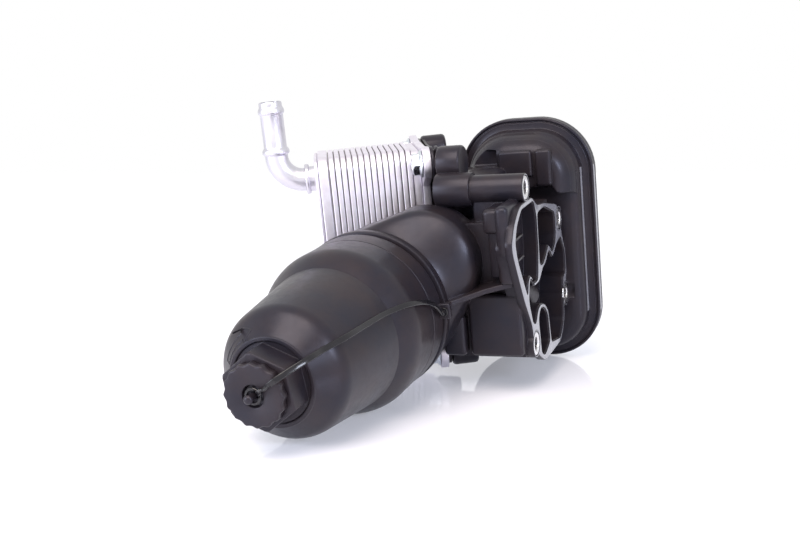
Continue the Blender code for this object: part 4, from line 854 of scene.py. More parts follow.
@dataclass
class FilterCap:
    """The screw cap: hexagon, ringed face, straight cone, flare, skirt, lip and thread."""

    across_flats: float = 36
    hex_height: float = 14.5
    hex_turn: float = 6.8
    ring_radius: float = 24
    ring_width: float = 2.5
    ring_height: float = 0.8
    tip_station: float = 11.6
    tip_radius: float = 35.5
    tip_round: float = 5
    shoulder_station: float = 65.3
    shoulder_radius: float = 41.7
    skirt_station: float = 83.5
    skirt_radius: float = 48.56
    seam_station: float = 103
    lip_station: float = 117
    lip_radius: float = 49.16
    thread_radius: float = 44.4
    thread_length: float = 20
    seal_floor: float = 41.8
    collar_station: float = 121.7
    wall: float = 2.8
    bore: float = 10
    lug_angle: float = 4
    lug_width: float = 9
    lug_reach: float = 6
    lug_thickness: float = 4
    pin_radius: float = 1.5
    thread_pitch: float = 2.6
    arrow_corners: tuple = (  # (radius, degrees)
        (25.4, 161), (28.3, 161), (28.6, 141), (28.9, 125.5), (31.3, 126.5), (27.6, 111.5),
        (23.6, 124), (25.9, 124.9), (25.7, 141),
    )
    arrow_steps: int = 6
    arrow_bend: float = 31  # beyond this radius the arrow follows the skin's curve
    arrow_ridge: tuple = ((-0.38, -0.4), (-0.2, 0.28), (0.2, 0.28), (0.38, -0.4))

    def skin(self) -> list:
        """The outer skin from the ring on the face to the skirt, as (station, radius)."""
        length = self.shoulder_station - self.tip_station
        slope = (self.shoulder_radius - self.tip_radius) / length
        face = Vector((self.ring_radius - self.tip_radius, -self.tip_station)).normalized()
        tip = Vector((self.tip_station, self.tip_radius))
        start = tip + Vector((face.y, face.x)) * self.tip_round
        end = tip + Vector((self.tip_round, self.tip_round * slope))
        skin = [(0, self.ring_radius), *bent(start, tip, end, 10)]
        skin.append((self.shoulder_station - 0.5, self.shoulder_radius - 0.06))
        for i in range(19):
            share = i / 18
            station = self.shoulder_station + (self.skirt_station - self.shoulder_station) * share
            flare = (self.skirt_radius - self.shoulder_radius) * math.sin(share * math.pi / 2)
            skin.append((station, self.shoulder_radius + flare))
        return skin

    def radius_at(self, station: float) -> float:
        """The skin's radius at a station."""
        skin = self.skin()
        for (low, first), (high, second) in zip(skin, skin[1:]):
            if low <= station <= high:
                return first + (second - first) * (station - low) / (high - low)
        return self.ring_radius if station < 0 else self.skirt_radius

    def section(self) -> list:
        """The cap's whole section: outer skin, lip, thread, and the inner skin back."""
        ring, edge, top = self.ring_radius - self.ring_width, self.ring_radius, -self.ring_height
        seam, skirt = self.seam_station, self.skirt_radius
        lip, lip_radius, thread = self.lip_station, self.lip_radius, self.thread_radius
        end = lip + self.thread_length
        groove = self.collar_station + 2
        inner = self.seal_floor - 1.6
        section = [
            (0, 0), (0, ring - 0.2), (top + 0.25, ring + 0.1), (top, ring + 0.45),
            (top, edge - 0.45), (top + 0.25, edge - 0.1), *self.skin(), (seam - 0.55, skirt + 0.02),
            (seam - 0.35, skirt - 0.1), (seam, skirt - 0.5), (seam + 0.35, skirt - 0.1),
            (seam + 0.6, skirt + 0.03), (lip - 4, lip_radius - 0.1), (lip - 1, lip_radius),
            (lip - 0.3, lip_radius - 0.25), (lip, lip_radius - 0.8), (lip, thread + 2.1),
            (lip + 0.4, thread + 1.7), (self.collar_station - 0.6, thread + 1.7),
            (self.collar_station - 0.4, thread), (groove, thread), (groove, self.seal_floor),
            (groove + 3.2, self.seal_floor), (groove + 3.2, thread),
        ]
        turn = groove + 4
        while turn + 2.4 < end - 1:  # the thread's crests
            section += [
                (turn + offset, thread - cut)
                for offset, cut in ((0, 0), (0.5, 0), (1.1, 1.2), (1.5, 1.2), (2.1, 0))
            ]
            turn += self.thread_pitch
        return section + [
            (end - 1, thread), (end, thread - 1), (end, inner), (self.skirt_station, inner),
            (self.shoulder_station, self.shoulder_radius - self.wall),
            (self.tip_station + self.wall, self.tip_radius - self.wall),
            (self.wall, edge - self.wall), (self.wall, 0),
        ]

    def hexagon(self) -> bmesh.types.BMesh:
        """The wrench hexagon with a chamfered front and softened corners."""
        radius = self.across_flats / math.sqrt(3)
        turn = math.radians(-self.hex_turn)
        prism = rod(radius, (0, 0, -self.hex_height), (0, 0, self.wall / 2), 6, turn=turn)
        soften(prism, 0.6, 3)
        chamfer = lathe(
            [(-self.hex_height - 1, 0), (-self.hex_height - 1, radius - 2.2),
             (-self.hex_height + 1.7, radius + 0.5), (self.wall, radius + 0.5), (self.wall, 0)],
            FACETS_SMALL,
        )
        return worked(prism, [(Joinery.SHARE, chamfer)])

    def lug(self) -> tuple[bmesh.types.BMesh, bmesh.types.BMesh]:
        """The ear that the tether is clipped into, and the hole through it."""
        turn = Matrix.Rotation(math.radians(-self.lug_angle), 4, "Z")
        ear = block(
            (self.lip_radius - 2, -self.lug_width / 2, self.lip_station - self.lug_thickness),
            (self.lip_radius + self.lug_reach, self.lug_width / 2, self.lip_station - 0.2), 1.0, 4,
        )
        ear.transform(turn)
        middle = self.lip_radius + self.lug_reach / 2 - 0.2
        hole = rod(
            self.pin_radius + FIT, (middle, 0, self.lip_station - 8),
            (middle, 0, self.lip_station + 4), 32,
        )
        hole.transform(turn)
        return ear, hole

    def arrow(self) -> bmesh.types.BMesh:
        """A raised outline of a curved arrow that shows which way the cap turns."""
        slope = self.tip_station / (self.tip_radius - self.ring_radius)
        following = (*self.arrow_corners[1:], self.arrow_corners[0])
        points = []
        for (radius, angle), (next_radius, next_angle) in zip(self.arrow_corners, following):
            for k in range(self.arrow_steps):
                t = k / self.arrow_steps
                r = radius + (next_radius - radius) * t
                station = (r - self.ring_radius) * slope
                if r > self.arrow_bend:
                    station = next((s for s, edge in reversed(self.skin()) if edge <= r), 0)
                points.append(around(r, angle + (next_angle - angle) * t, station))
        rings = []
        for i, here in enumerate(points):
            ahead = (points[(i + 1) % len(points)] - points[i - 1]).normalized()
            out = Vector((here.x, here.y, 0)).normalized()
            normal = (out * 0.7 + Vector((0, 0, -0.7))).normalized()
            normal = (normal - ahead * normal.dot(ahead)).normalized()
            across = ahead.cross(normal)
            rings.append([here + across * a + normal * b for a, b in self.arrow_ridge])
        return loft([*rings, rings[0]], lids=False)

    def make(self, bench: Bench) -> None:
        """Builds the cap and dresses it."""
        ear, hole = self.lug()
        drain = rod(self.bore, (0, 0, -30), (0, 0, 9))
        cap = worked(
            lathe(self.section(), FACETS_LARGE),
            [(Joinery.JOIN, self.hexagon()), (Joinery.JOIN, ear), (Joinery.CUT, drain),
             (Joinery.CUT, hole)],
        )
        cap = merged([cap, self.arrow()])
        cap.transform(AXIS_FRAME)
        bench.issue(
            "screw_cap", cap, bench.palette.cap, ["filter_cap"], Body.CAP, 19
        )


@dataclass
class DrainPlug:
    """The scalloped plug in the cap's hexagon, with a post in its recess for the tether."""

    hex_height: float = 14.5
    head: float = 4.6
    radius: float = 16.6
    lobes: int = 16
    lobe_depth: float = 0.9
    recess_radius: float = 5.8
    recess_depth: float = 3.6
    post_radius: float = 1.7
    post_tip: float = 2.5
    post_reach: float = 6
    shank: float = 9.7
    cap_wall: float = 2.8
    steps: int = 192

    @property
    def front(self) -> float:
        """The station of the plug's face."""
        return -self.hex_height - FIT - self.head

    def ring(self, station: float, radius: float, scallop: float = 0.0) -> list:
        """One ring of the skin.

        Args:
            station: Its station.
            radius: Its radius on the lobes.
            scallop: How deep its hollows are.

        Returns:
            The ring's points.
        """
        points = []
        for i in range(self.steps):
            angle = 2 * math.pi * i / self.steps
            hollow = 0.5 - 0.5 * math.cos(self.lobes * angle)
            r = radius - scallop * hollow ** 0.8
            points.append((r * math.cos(angle), r * math.sin(angle), station))
        return points

    def make(self, bench: Bench) -> None:
        """Builds the plug and dresses it."""
        front, back = self.front, -self.hex_height - FIT
        floor, tip = front + self.recess_depth, front - self.post_reach
        groove, groove_end = -self.hex_height + 1.4, -self.hex_height + 4
        head, deep, shank = self.radius, self.lobe_depth, self.shank
        recess, post, bead = self.recess_radius, self.post_radius, self.post_tip
        profile = [
            (self.cap_wall, 0.4), (self.cap_wall, shank - 1), (self.cap_wall - 1, shank),
            (groove_end, shank), (groove_end, shank - 2), (groove, shank - 2), (groove, shank),
            (back, shank), (back, head - 0.5, deep), (back - 0.15, head - 0.15, deep),
            (back - 0.5, head, deep), (front + 0.9, head, deep), (front + 0.35, head - 0.2, deep),
            (front + 0.1, head - 0.5, deep), (front, head - 1.0, deep),
            (front, head - 1.6, deep * 0.6), (front, recess + 0.6), (front + 0.15, recess + 0.2),
            (front + 0.6, recess), (floor - 0.3, recess - 0.1), (floor, recess - 0.5),
            (floor, post + 0.4), (floor - 0.4, post), (tip + 2.3, post), (tip + 2.0, bead - 0.1),
            (tip + 1.6, bead), (tip + 1.2, bead - 0.1), (tip + 0.4, bead * 0.7),
            (tip, bead * 0.35),
        ]
        plug = loft([self.ring(*step) for step in profile])
        plug.transform(AXIS_FRAME)
        bench.issue(
            "scalloped_plug", plug, bench.palette.cap, ["drain_plug"], Body.PLUG, 35
        )


@dataclass
class TetherStrap:
    """The thin moulded strap from the plug's post to the lug on the cap's lip."""

    cap: FilterCap
    plug: DrainPlug
    width: float = 3
    thickness: float = 1.3
    lift: float = 2.2
    eyelet_radius: float = 4.6
    eyelet_lift: float = 3.2
    tab_radius: float = 2.6
    star: tuple = (3.4, 1.9)  # the radius of its points and of its hollows
    side_run: tuple = (  # (station, height over the resting lift, degrees) along the cap's side
        (5, 1.0, 30), (18, 0.2, 28.3), (36, 0, 27.2), (54, 0, 26), (65, 1.4, 24.4), (76, 0, 22),
        (89, 0.6, 18), (102, 0, 12),
    )

    @property
    def level(self) -> float:
        """The station of the eyelet round the plug's post."""
        return self.plug.front + self.plug.recess_depth - self.eyelet_lift

    def route(self) -> list[Vector]:
        """The strap's centre line in the filter axis's frame."""
        level, head = self.level, self.plug.radius
        skin = self.lift + self.thickness / 2
        stations = [
            (level - 0.5, self.eyelet_radius - 1, 31),
            (level - 2.2, self.eyelet_radius + 0.2, 31.5),
            (level - 3.2, self.plug.recess_radius + 1, 32), (level - 3.3, head * 0.6, 32.5),
            (level - 3.3, head - 1.5, 33), (level - 2.6, head + 1.8, 33),
            (level + 1.2, head + 6.5, 32.5), (-7.5, self.cap.ring_radius + 6.8, 31),
        ]
        for station, extra, angle in self.side_run:
            stations.append((station, self.cap.radius_at(station) + skin + extra, angle))
        points = [around(radius, angle, station) for station, radius, angle in stations]
        return [*points, self.tab() - Vector((0, 0, 3))]

    def lug(self) -> Vector:
        """The lug's hole, on the plane of the cap's face."""
        radius = self.cap.lip_radius + self.cap.lug_reach / 2 - 0.2
        return around(radius, self.cap.lug_angle, 0)

    def tab(self) -> Vector:
        """The middle of the strap's tab in front of the lug."""
        front = self.cap.lip_station - self.cap.lug_thickness
        return self.lug() + Vector((0, 0, front - FIT - self.thickness / 2))

    def band(self) -> bmesh.types.BMesh:
        """The strap itself: a flat band with round edges that faces the axis."""
        half, thick = self.width / 2, self.thickness / 2
        outline = rounded_rectangle(-half, half, -thick, thick, thick * 0.8, 4)
        curve = smooth_route(self.route(), 8)
        rings = []
        for i, here in enumerate(curve):
            ahead = heading(curve, i)
            outwards = Vector((here.x, here.y, 0)).normalized()
            across = ahead.cross(outwards).normalized()
            normal = across.cross(ahead).normalized()
            rings.append([here + across * a + normal * b for a, b in outline])
        return loft(rings)

    def make(self, bench: Bench) -> None:
        """Builds the strap with its eyelet, pin and star clip, and dresses it."""
        level = self.level
        bore = self.plug.post_tip + 0.6
        edge = self.eyelet_radius
        eyelet = lathe(
            [(level - 0.6, bore + 0.2), (level - 0.6, edge - 0.3), (level - 0.3, edge),
             (level + 0.3, edge), (level + 0.6, edge - 0.3), (level + 0.6, bore + 0.2),
             (level + 0.3, bore), (level - 0.3, bore)], FACETS, closed=True,
        )
        lug, tab = self.lug(), self.tab()
        station = self.cap.lip_station
        half = Vector((0, 0, self.thickness / 2))
        pin = rod(
            self.cap.pin_radius, tab - Vector((0, 0, 4.2)), lug + Vector((0, 0, station + 2.2)),
            32, 0.35,
        )
        disc = rod(self.tab_radius, tab - half, tab + half, 40, 0.3)
        outline = []
        for i in range(12):
            radius = self.star[i % 2]
            angle = math.pi * i / 6
            outline.append((lug.x + radius * math.cos(angle), lug.y + radius * math.sin(angle)))
        star = soften(slab(outline, station + 0.4, station + 1.6, Side.Z), 0.25, 2, 20)
        strap = worked(
            self.band(),
            [(Joinery.JOIN, eyelet), (Joinery.JOIN, pin), (Joinery.JOIN, disc),
             (Joinery.JOIN, star)],
        )
        strap.transform(AXIS_FRAME)
        bench.issue(
            "plug_strap", strap, bench.palette.strap, ["tether_strap"],
            Body.CAP, 35,
        )


@dataclass
class PlateCooler:
    """The stack of brazed plates, from the eared base plate to the end plate."""

    pad: tuple = (20.3, 194.6, 0.0)
    turn: float = 26
    depth: float = 64
    top: float = 88.5
    bottom: float = -58.9
    base_bottom: float = -54
    corner: float = 10
    base: float = 5
    spacer: float = 5.2
    plates: int = 14
    pitch: float = 3.83
    wide: float = 6.3
    end: float = 2.3
    ear_radius: float = 10.5
    ear_out: float = 9.5
    ear_inset: float = 8.5
    bolt_radius: float = 4
    bolt_grip: float = 12
    washer: float = 8.8
    edge_profile: tuple = (  # a plate's edge as (share of the pitch, inset)
        (0, 1.6), (0.13, 1.6), (0.14, 0.75), (0.19, 0.28), (0.28, 0.05), (0.42, 0), (0.74, 0),
        (0.88, 0.06), (0.96, 0.3), (1.0, 0.8),
    )
    sway: float = 0.09  # how far a plate's edge strays from a straight line
    groove_shade_start: float = 0.97  # the painted groove shade runs from this share of the pitch ...
    groove_shade_end: float = 0.135  # ... to this share of the next one

    @property
    def frame(self) -> Matrix:
        """The cooler's own frame in the module: x away from the engine side is negative."""
        return Matrix.Translation(self.pad) @ Matrix.Rotation(math.radians(self.turn), 4, "Z")

    @property
    def layers(self) -> dict[str, tuple[float, float]]:
        """Each layer's low and high x."""
        found = {}
        high = -FIT
        for name, thickness in (
            ("base", self.base), ("spacer", self.spacer), ("plates", self.plates * self.pitch),
            ("wide", self.wide), ("end", self.end),
        ):
            found[name] = (high - thickness, high)
            high -= thickness + FIT
        return found

    @property
    def ears(self) -> list[tuple[float, float]]:
        """The (y, z) of the four bolts."""
        return [
            (y, z)
            for y in (-self.ear_out, self.depth + self.ear_out)
            for z in (self.top - self.ear_inset, self.base_bottom + self.ear_inset)
        ]

    def outline(self, inset: float = 0.0) -> list:
        """The plates' outline in (y, z), drawn in by an inset."""
        return rounded_rectangle(
            inset, self.depth - inset, self.bottom + inset, self.top - inset, self.corner - inset
        )

    def eared(self, inset: float = 0.0) -> list:
        """The outline with a round ear at each bolt, in (y, z)."""
        half_depth = self.depth / 2
        half_height = (self.top - self.base_bottom) / 2
        centre = (half_depth, (self.top + self.base_bottom) / 2)
        ear = (half_depth + self.ear_out, half_height - self.ear_inset)
        quarter = [(half_depth - inset, ear[1] - self.ear_radius - 5)]
        quarter += arc(ear, self.ear_radius - inset, -75, 98, 24)
        quarter += [(half_depth - self.corner - 3, half_height - inset)]
        outline = []
        for y_side, z_side in ((1, 1), (-1, 1), (-1, -1), (1, -1)):
            run = quarter if y_side == z_side else quarter[::-1]
            outline += [(centre[0] + y * y_side, centre[1] + z * z_side) for y, z in run]
        return outline

    def stack(self) -> bmesh.types.BMesh:
        """The brazed plates, each with rolled edges, and the seam between two of them, whose groove
        is painted dark as shade.
        """
        low, _ = self.layers["plates"]
        steps = []
        for i in range(self.plates):
            for share, inset in self.edge_profile:
                sway = self.sway * math.sin(i * 2.4) if 0.14 < share < 0.96 else 0.0
                steps.append((max(0.0, inset + sway), low + self.pitch * (i + share)))
        stack = stepped(self.outline, steps, Side.X)
        # faces in a groove get the second material, the painted groove shade
        for face in stack.faces:
            if len(face.verts) == 4 and self.in_shaded_groove(face.calc_center_median().x - low):
                face.material_index = 1
        return stack

    def in_shaded_groove(self, x: float) -> bool:
        """Whether a place along the stack lies in a groove, whose faces are painted dark as shade.
        """
        share = (x / self.pitch) % 1
        return share < self.groove_shade_end or share > self.groove_shade_start

    def make(self, bench: Bench) -> None:
        """Builds the plates and dresses them."""
        layers = self.layers
        base = soften(slab(self.eared(), *layers["base"], Side.X), 0.5, 3, 60)
        below, above = layers["base"][0] * 2, 5
        holes = [
            (Joinery.CUT,
             rod(self.bolt_radius + FIT, (below, y, z), (above, y, z), FACETS_SMALL))
            for y, z in self.ears
        ]
        low, high = layers["end"]
        end_steps = (
            (1.5, high), (1.1, high - 0.3), (1.0, high - 0.8), (1.05, low + 0.9), (1.6, low + 0.3),
            (2.6, low),
        )
        for name, shape, node in (
            ("eared_base_plate", worked(base, holes), "cooler_base_plate"),
            ("spacer_plate", soften(slab(self.outline(1.2), *layers["spacer"], Side.X), 0.6, 3, 60),
             "cooler_spacer_plate"),
            ("brazed_plates", self.stack(), "cooler_plates"),
            ("wide_plate", soften(slab(self.outline(), *layers["wide"], Side.X), 0.8, 4, 60),
             "cooler_wide_plate"),
            ("end_plate", stepped(self.outline, end_steps, Side.X), "cooler_end_plate"),
        ):
            shape.transform(self.frame)
            # the brazed plates take the painted groove shade as their second material
            bench.issue(
                name, shape, bench.palette.sheet, [node],
                second=bench.palette.seam if name == "brazed_plates" else None,
            )


@dataclass
class CoolerBolts:
    """Four flange-head screws that hold the cooler to its pad."""

    cooler: PlateCooler
    head: float = 6.2
    across_flats: float = 13
    dish: float = 4.4
    thread_pitch: float = 1.25

    def bolt(self) -> bmesh.types.BMesh:
        """One screw on local z, its head towards negative z."""
        seat = self.cooler.layers["base"][0] - FIT
        washer, shank, grip = self.cooler.washer, self.cooler.bolt_radius, self.cooler.bolt_grip
        section = [
            (seat - 2.2, 0), (seat - 2.2, washer * 0.78), (seat - 1.7, washer * 0.86),
            (seat - 0.9, washer - 0.15), (seat - 0.6, washer), (seat - 0.2, washer - 0.05),
            (seat, washer - 0.3), (seat, shank),
        ]
        turn = seat + 1.5
        while turn + self.thread_pitch < grip - 1:  # the thread's crests
            section += [(turn, shank), (turn + 0.55, shank - 0.55), (turn + 1.1, shank)]
            turn += self.thread_pitch
        section += [(grip - 1, shank), (grip, shank - 1), (grip, 0)]
        radius = self.across_flats / 2 / math.cos(math.pi / 6)
        prism = rod(radius, (0, 0, seat - self.head), (0, 0, seat - 1), 6)
        soften(prism, 0.35, 3)
        crown = seat - self.head
        chamfer = lathe(
            [(crown - 1, 0), (crown - 1, radius - 2.6), (crown + 1.4, radius + 0.6),
             (seat, radius + 0.6), (seat, 0)], FACETS_SMALL,
        )
        hexagon = worked(prism, [(Joinery.SHARE, chamfer)])
        dish = lathe(
            [(crown - 2, 0), (crown - 2, self.dish), (crown + 0.4, self.dish - 0.1),
             (crown + 1.0, self.dish - 0.8), (crown + 1.1, 0)], FACETS_SMALL,
        )
        return worked(lathe(section, FACETS), [(Joinery.JOIN, hexagon), (Joinery.CUT, dish)])

    def make(self, bench: Bench) -> None:
        """Builds the four screws and dresses them."""
        for i, (y, z) in enumerate(self.cooler.ears):
            bolt = self.bolt()
            place = Matrix.Translation((0, y, z)) @ ENGINE_FRAME
            bolt.transform(self.cooler.frame @ place)
            bench.issue(
                f"flange_screw_{i + 1}", bolt, bench.palette.zinc,
                [f"cooler_bolt_{i + 1}"],
            )


@dataclass
class CoolantPipe:
    """The bent hose spigot on the end plate, with two beads and a ferrule at its foot."""

    cooler: PlateCooler
    radius: float = 7.8
    wall: float = 1.3
    bend: float = 17.5
    out: float = 25.1
    back: float = 46
    height: float = 71
    top: float = 125.5
    top_bead: float = 8.9
    low_bead: float = 9.3
    ferrule: float = 10.3
    ferrule_start: float = 4.2
    ferrule_length: float = 2.8
    bead_profile: tuple = (  # (offset along the pipe, share of the bead's height)
        (-2.7, 0), (-2.3, 0.18), (-1.9, 0.6), (-1.4, 0.9), (-0.8, 1), (0.3, 0.97), (1.2, 0.75),
        (2.0, 0.35), (2.6, 0.08), (3.0, 0),
    )

    def stations(self) -> list[tuple[Vector, Vector, float]]:
        """The outer skin's rings as (centre, way, radius), from the end plate to the mouth."""
        end = self.cooler.layers["end"][0]
        x_out = end - self.out
        found = [(Vector((end - FIT, self.back, self.height)), Vector((-1, 0, 0)), self.radius)]
        for i in range(25):
            angle = math.pi / 2 * i / 24
            place = Vector((
                x_out + self.bend * (1 - math.sin(angle)), self.back,
                self.height + self.bend * (1 - math.cos(angle)),
            ))
            found.append((place, Vector((-math.cos(angle), 0, math.sin(angle))), self.radius))
        for middle, size in (
            (self.height + self.bend + 3.6, self.low_bead), (self.top - 6, self.top_bead)
        ):
            proud = size - self.radius
            for offset, share in self.bead_profile:
                place = Vector((x_out, self.back, middle + offset))
                found.append((place, Vector((0, 0, 1)), self.radius + proud * share))
        for offset, drawn in ((-1.0, 0), (-0.5, 0.12), (-0.15, 0.35), (0, 0.65)):
            place = Vector((x_out, self.back, self.top + offset))
            found.append((place, Vector((0, 0, 1)), self.radius - drawn))
        return found

    def make(self, bench: Bench) -> None:
        """Builds the pipe and its ferrule, and dresses them."""
        outer = self.stations()
        bore = self.radius - self.wall
        inner = [(place, way, bore) for place, way, _ in reversed(outer)]
        rings = []
        side = Vector((0, 1, 0))
        for place, way, radius in (*outer, *inner):
            across = way.cross(side)
            rings.append([
                place + (side * math.cos(a) + across * math.sin(a)) * radius
                for a in (2 * math.pi * k / FACETS for k in range(FACETS))
            ])
        pipe = loft([*rings, rings[0]], lids=False)
        pipe.transform(self.cooler.frame)
        bench.issue("hose_spigot", pipe, bench.palette.tube, ["coolant_pipe"])
        neck = self.ferrule - 1.8
        start = self.ferrule_start
        end = start + self.ferrule_length
        ring = lathe(
            [(FIT, self.radius + FIT), (FIT, neck + 0.5), (FIT + 0.5, neck + 0.1),
             (FIT + 1.2, neck), (start, neck), (start + 0.15, self.ferrule - 0.5),
             (start + 0.5, self.ferrule - 0.1), (start + 0.9, self.ferrule),
             (end - 0.5, self.ferrule), (end, self.ferrule - 0.25), (end + 0.3, self.ferrule - 0.9),
             (end + 0.4, neck), (end + 0.4, self.radius + FIT)],
            96, closed=True,
        )
        foot = Matrix.Translation((self.cooler.layers["end"][0], self.back, self.height))
        ring.transform(self.cooler.frame @ (foot @ OUTER_FRAME))
        bench.issue("spigot_ferrule", ring, bench.palette.tube, ["pipe_ferrule"])


@dataclass
class BreatherChamber:
    """The rounded chamber behind the flange: its rim, dome and hood, and the rear cover."""

    left: float = 15
    right: float = 109.99
    bottom: float = -76.7
    top: float = 96
    corner: float = 38
    rim_station: float = 274
    rim_thickness: float = 5
    rim_width: float = 7.5
    dome_station: float = 261
    hood_station: float = 250
    hood_bottom: float = 50
    wall: float = 3
    cover: float = 5.5
    cover_dome: float = 5
    panel_lift: float = 3
    panel_boxes: tuple = (  # (left, right, bottom, top, rounding, facets)
        (50.5, 74, 59, 77, 2.0, 4), (76.2, 87, 52.5, 77, 2.0, 4), (31, 49, 62, 66.2, 1.4, 3),
    )
    recess: tuple = (31, 49, 67, 78)
    recess_depth: float = 5
    cover_ribs: int = 3

    def outline(self, inset: float = 0.0) -> list:
        """The chamber's outline in (x, z), drawn in by an inset."""
        return rounded_rectangle(
            self.left + inset, self.right - inset, self.bottom + inset, self.top - inset,
            self.corner - inset, 16,
        )

    def hood_outline(self, inset: float = 0.0) -> list:
        """The outline of the hood in (x, z), drawn in by an inset."""
        left = self.left + self.rim_width + 2 + inset
        right = self.right - self.rim_width - 2 - inset
        top = self.top - self.rim_width - 2 - inset
        bottom = self.hood_bottom + min(inset, 2.5)
        radius = self.corner - self.rim_width - inset
        points = arc((right - radius, top - radius), radius, 0, 90, 16)
        points += arc((left + radius, top - radius), radius, 90, 180, 16)
        points += [(left, bottom), (right - 26, bottom), (right - 22, bottom + 0.2)]
        points += [(right - 19, bottom - 1), (right - 15, bottom + 1.2), (right - 12, bottom + 2)]
        points += [(right - 9, bottom + 2), (right - 6, bottom + 1), (right - 3, bottom - 1.5)]
        points += [(right, bottom - 6)]
        return points

    def front(self) -> bmesh.types.BMesh:
        """The rim with its bead and groove, and the dome that rises from it."""
        rim, width, dome = self.rim_station, self.rim_width, self.dome_station
        steps = [
            (0, rim + self.rim_thickness), (0, rim + 1.0), (0.25, rim + 0.35), (0.8, rim),
            (1.6, rim), (1.9, rim + 0.3), (2.0, rim + 1.0), (2.9, rim + 1.0), (3.0, rim + 0.3),
            (3.3, rim), (width - 0.8, rim), (width - 0.1, rim - 0.3), (width + 0.2, rim - 1.2),
            (width + 0.5, dome + 7.6), (width + 1.1, dome + 5.0), (width + 2.3, dome + 2.8),
            (width + 4.2, dome + 1.2), (width + 6.8, dome + 0.3), (width + 10, dome),
        ]
        return stepped(self.outline, steps, Side.Y)

    def hood(self) -> bmesh.types.BMesh:
        """The hood: the part of the chamber that stands forward at its top."""
        front = self.hood_station
        steps = [(0, self.dome_station + 6), (0, front + 14), (0.8, front + 11), (2.4, front + 7.6),
                 (4.6, front + 4.4), (7, front + 1.9), (9, front + 0.6), (11, front)]
        return stepped(self.hood_outline, steps, Side.Y)

    def panels(self) -> list[bmesh.types.BMesh]:
        """The raised panels on the hood."""
        front = self.hood_station - self.panel_lift
        back = self.hood_station + 6
        return [
            block((left, front, low), (right, back, high), rounding, facets)
            for left, right, low, high, rounding, facets in self.panel_boxes
        ]

    def hollows(self) -> list[bmesh.types.BMesh]:
        """The room behind the dome and hood, and the dark recess beside the panels."""
        back = self.rim_station + self.rim_thickness + 2
        left, right, low, high = self.recess
        front = self.hood_station
        inside = self.outline(self.rim_width + self.wall)
        return [
            slab(inside, self.dome_station + self.wall, back, Side.Y),
            slab(self.hood_outline(self.wall), front + self.recess_depth + 2, back, Side.Y),
            block((left, front - 5, low), (right, front + self.recess_depth, high), 1.2, 3),
        ]

    def make_cover(self, bench: Bench) -> None:
        """Builds the rear cover and dresses it."""
        front = self.rim_station + self.rim_thickness + FIT
        back = front + self.cover
        dome = back + self.cover_dome
        rim = self.rim_width
        steps = [
            (1.0, front), (0.3, front + 0.3), (0, front + 1.0), (0, back - 1.2),
            (0.35, back - 0.35), (1.2, back), (rim + 0.6, back), (rim + 1.8, back + 0.5),
            (rim + 2.3, back + 2), (rim + 3.2, back + 3.8), (rim + 5, dome - 0.3),
            (rim + 7.5, dome),
        ]
        shell = stepped(self.outline, steps, Side.Y)
        middle = (self.left + self.right) / 2
        ribs = []
        for i in range(self.cover_ribs):
            z = self.bottom + (self.top - self.bottom) * (i + 1) / (self.cover_ribs + 1)
            rib = block((middle - 30, dome - 1, z - 1.5), (middle + 30, dome + 2, z + 1.5), 0.9, 3)
            ribs.append((Joinery.JOIN, rib))
        bench.issue(
            "rear_cover", worked(shell, ribs), bench.palette.housing,
            ["breather_cover"],
        )


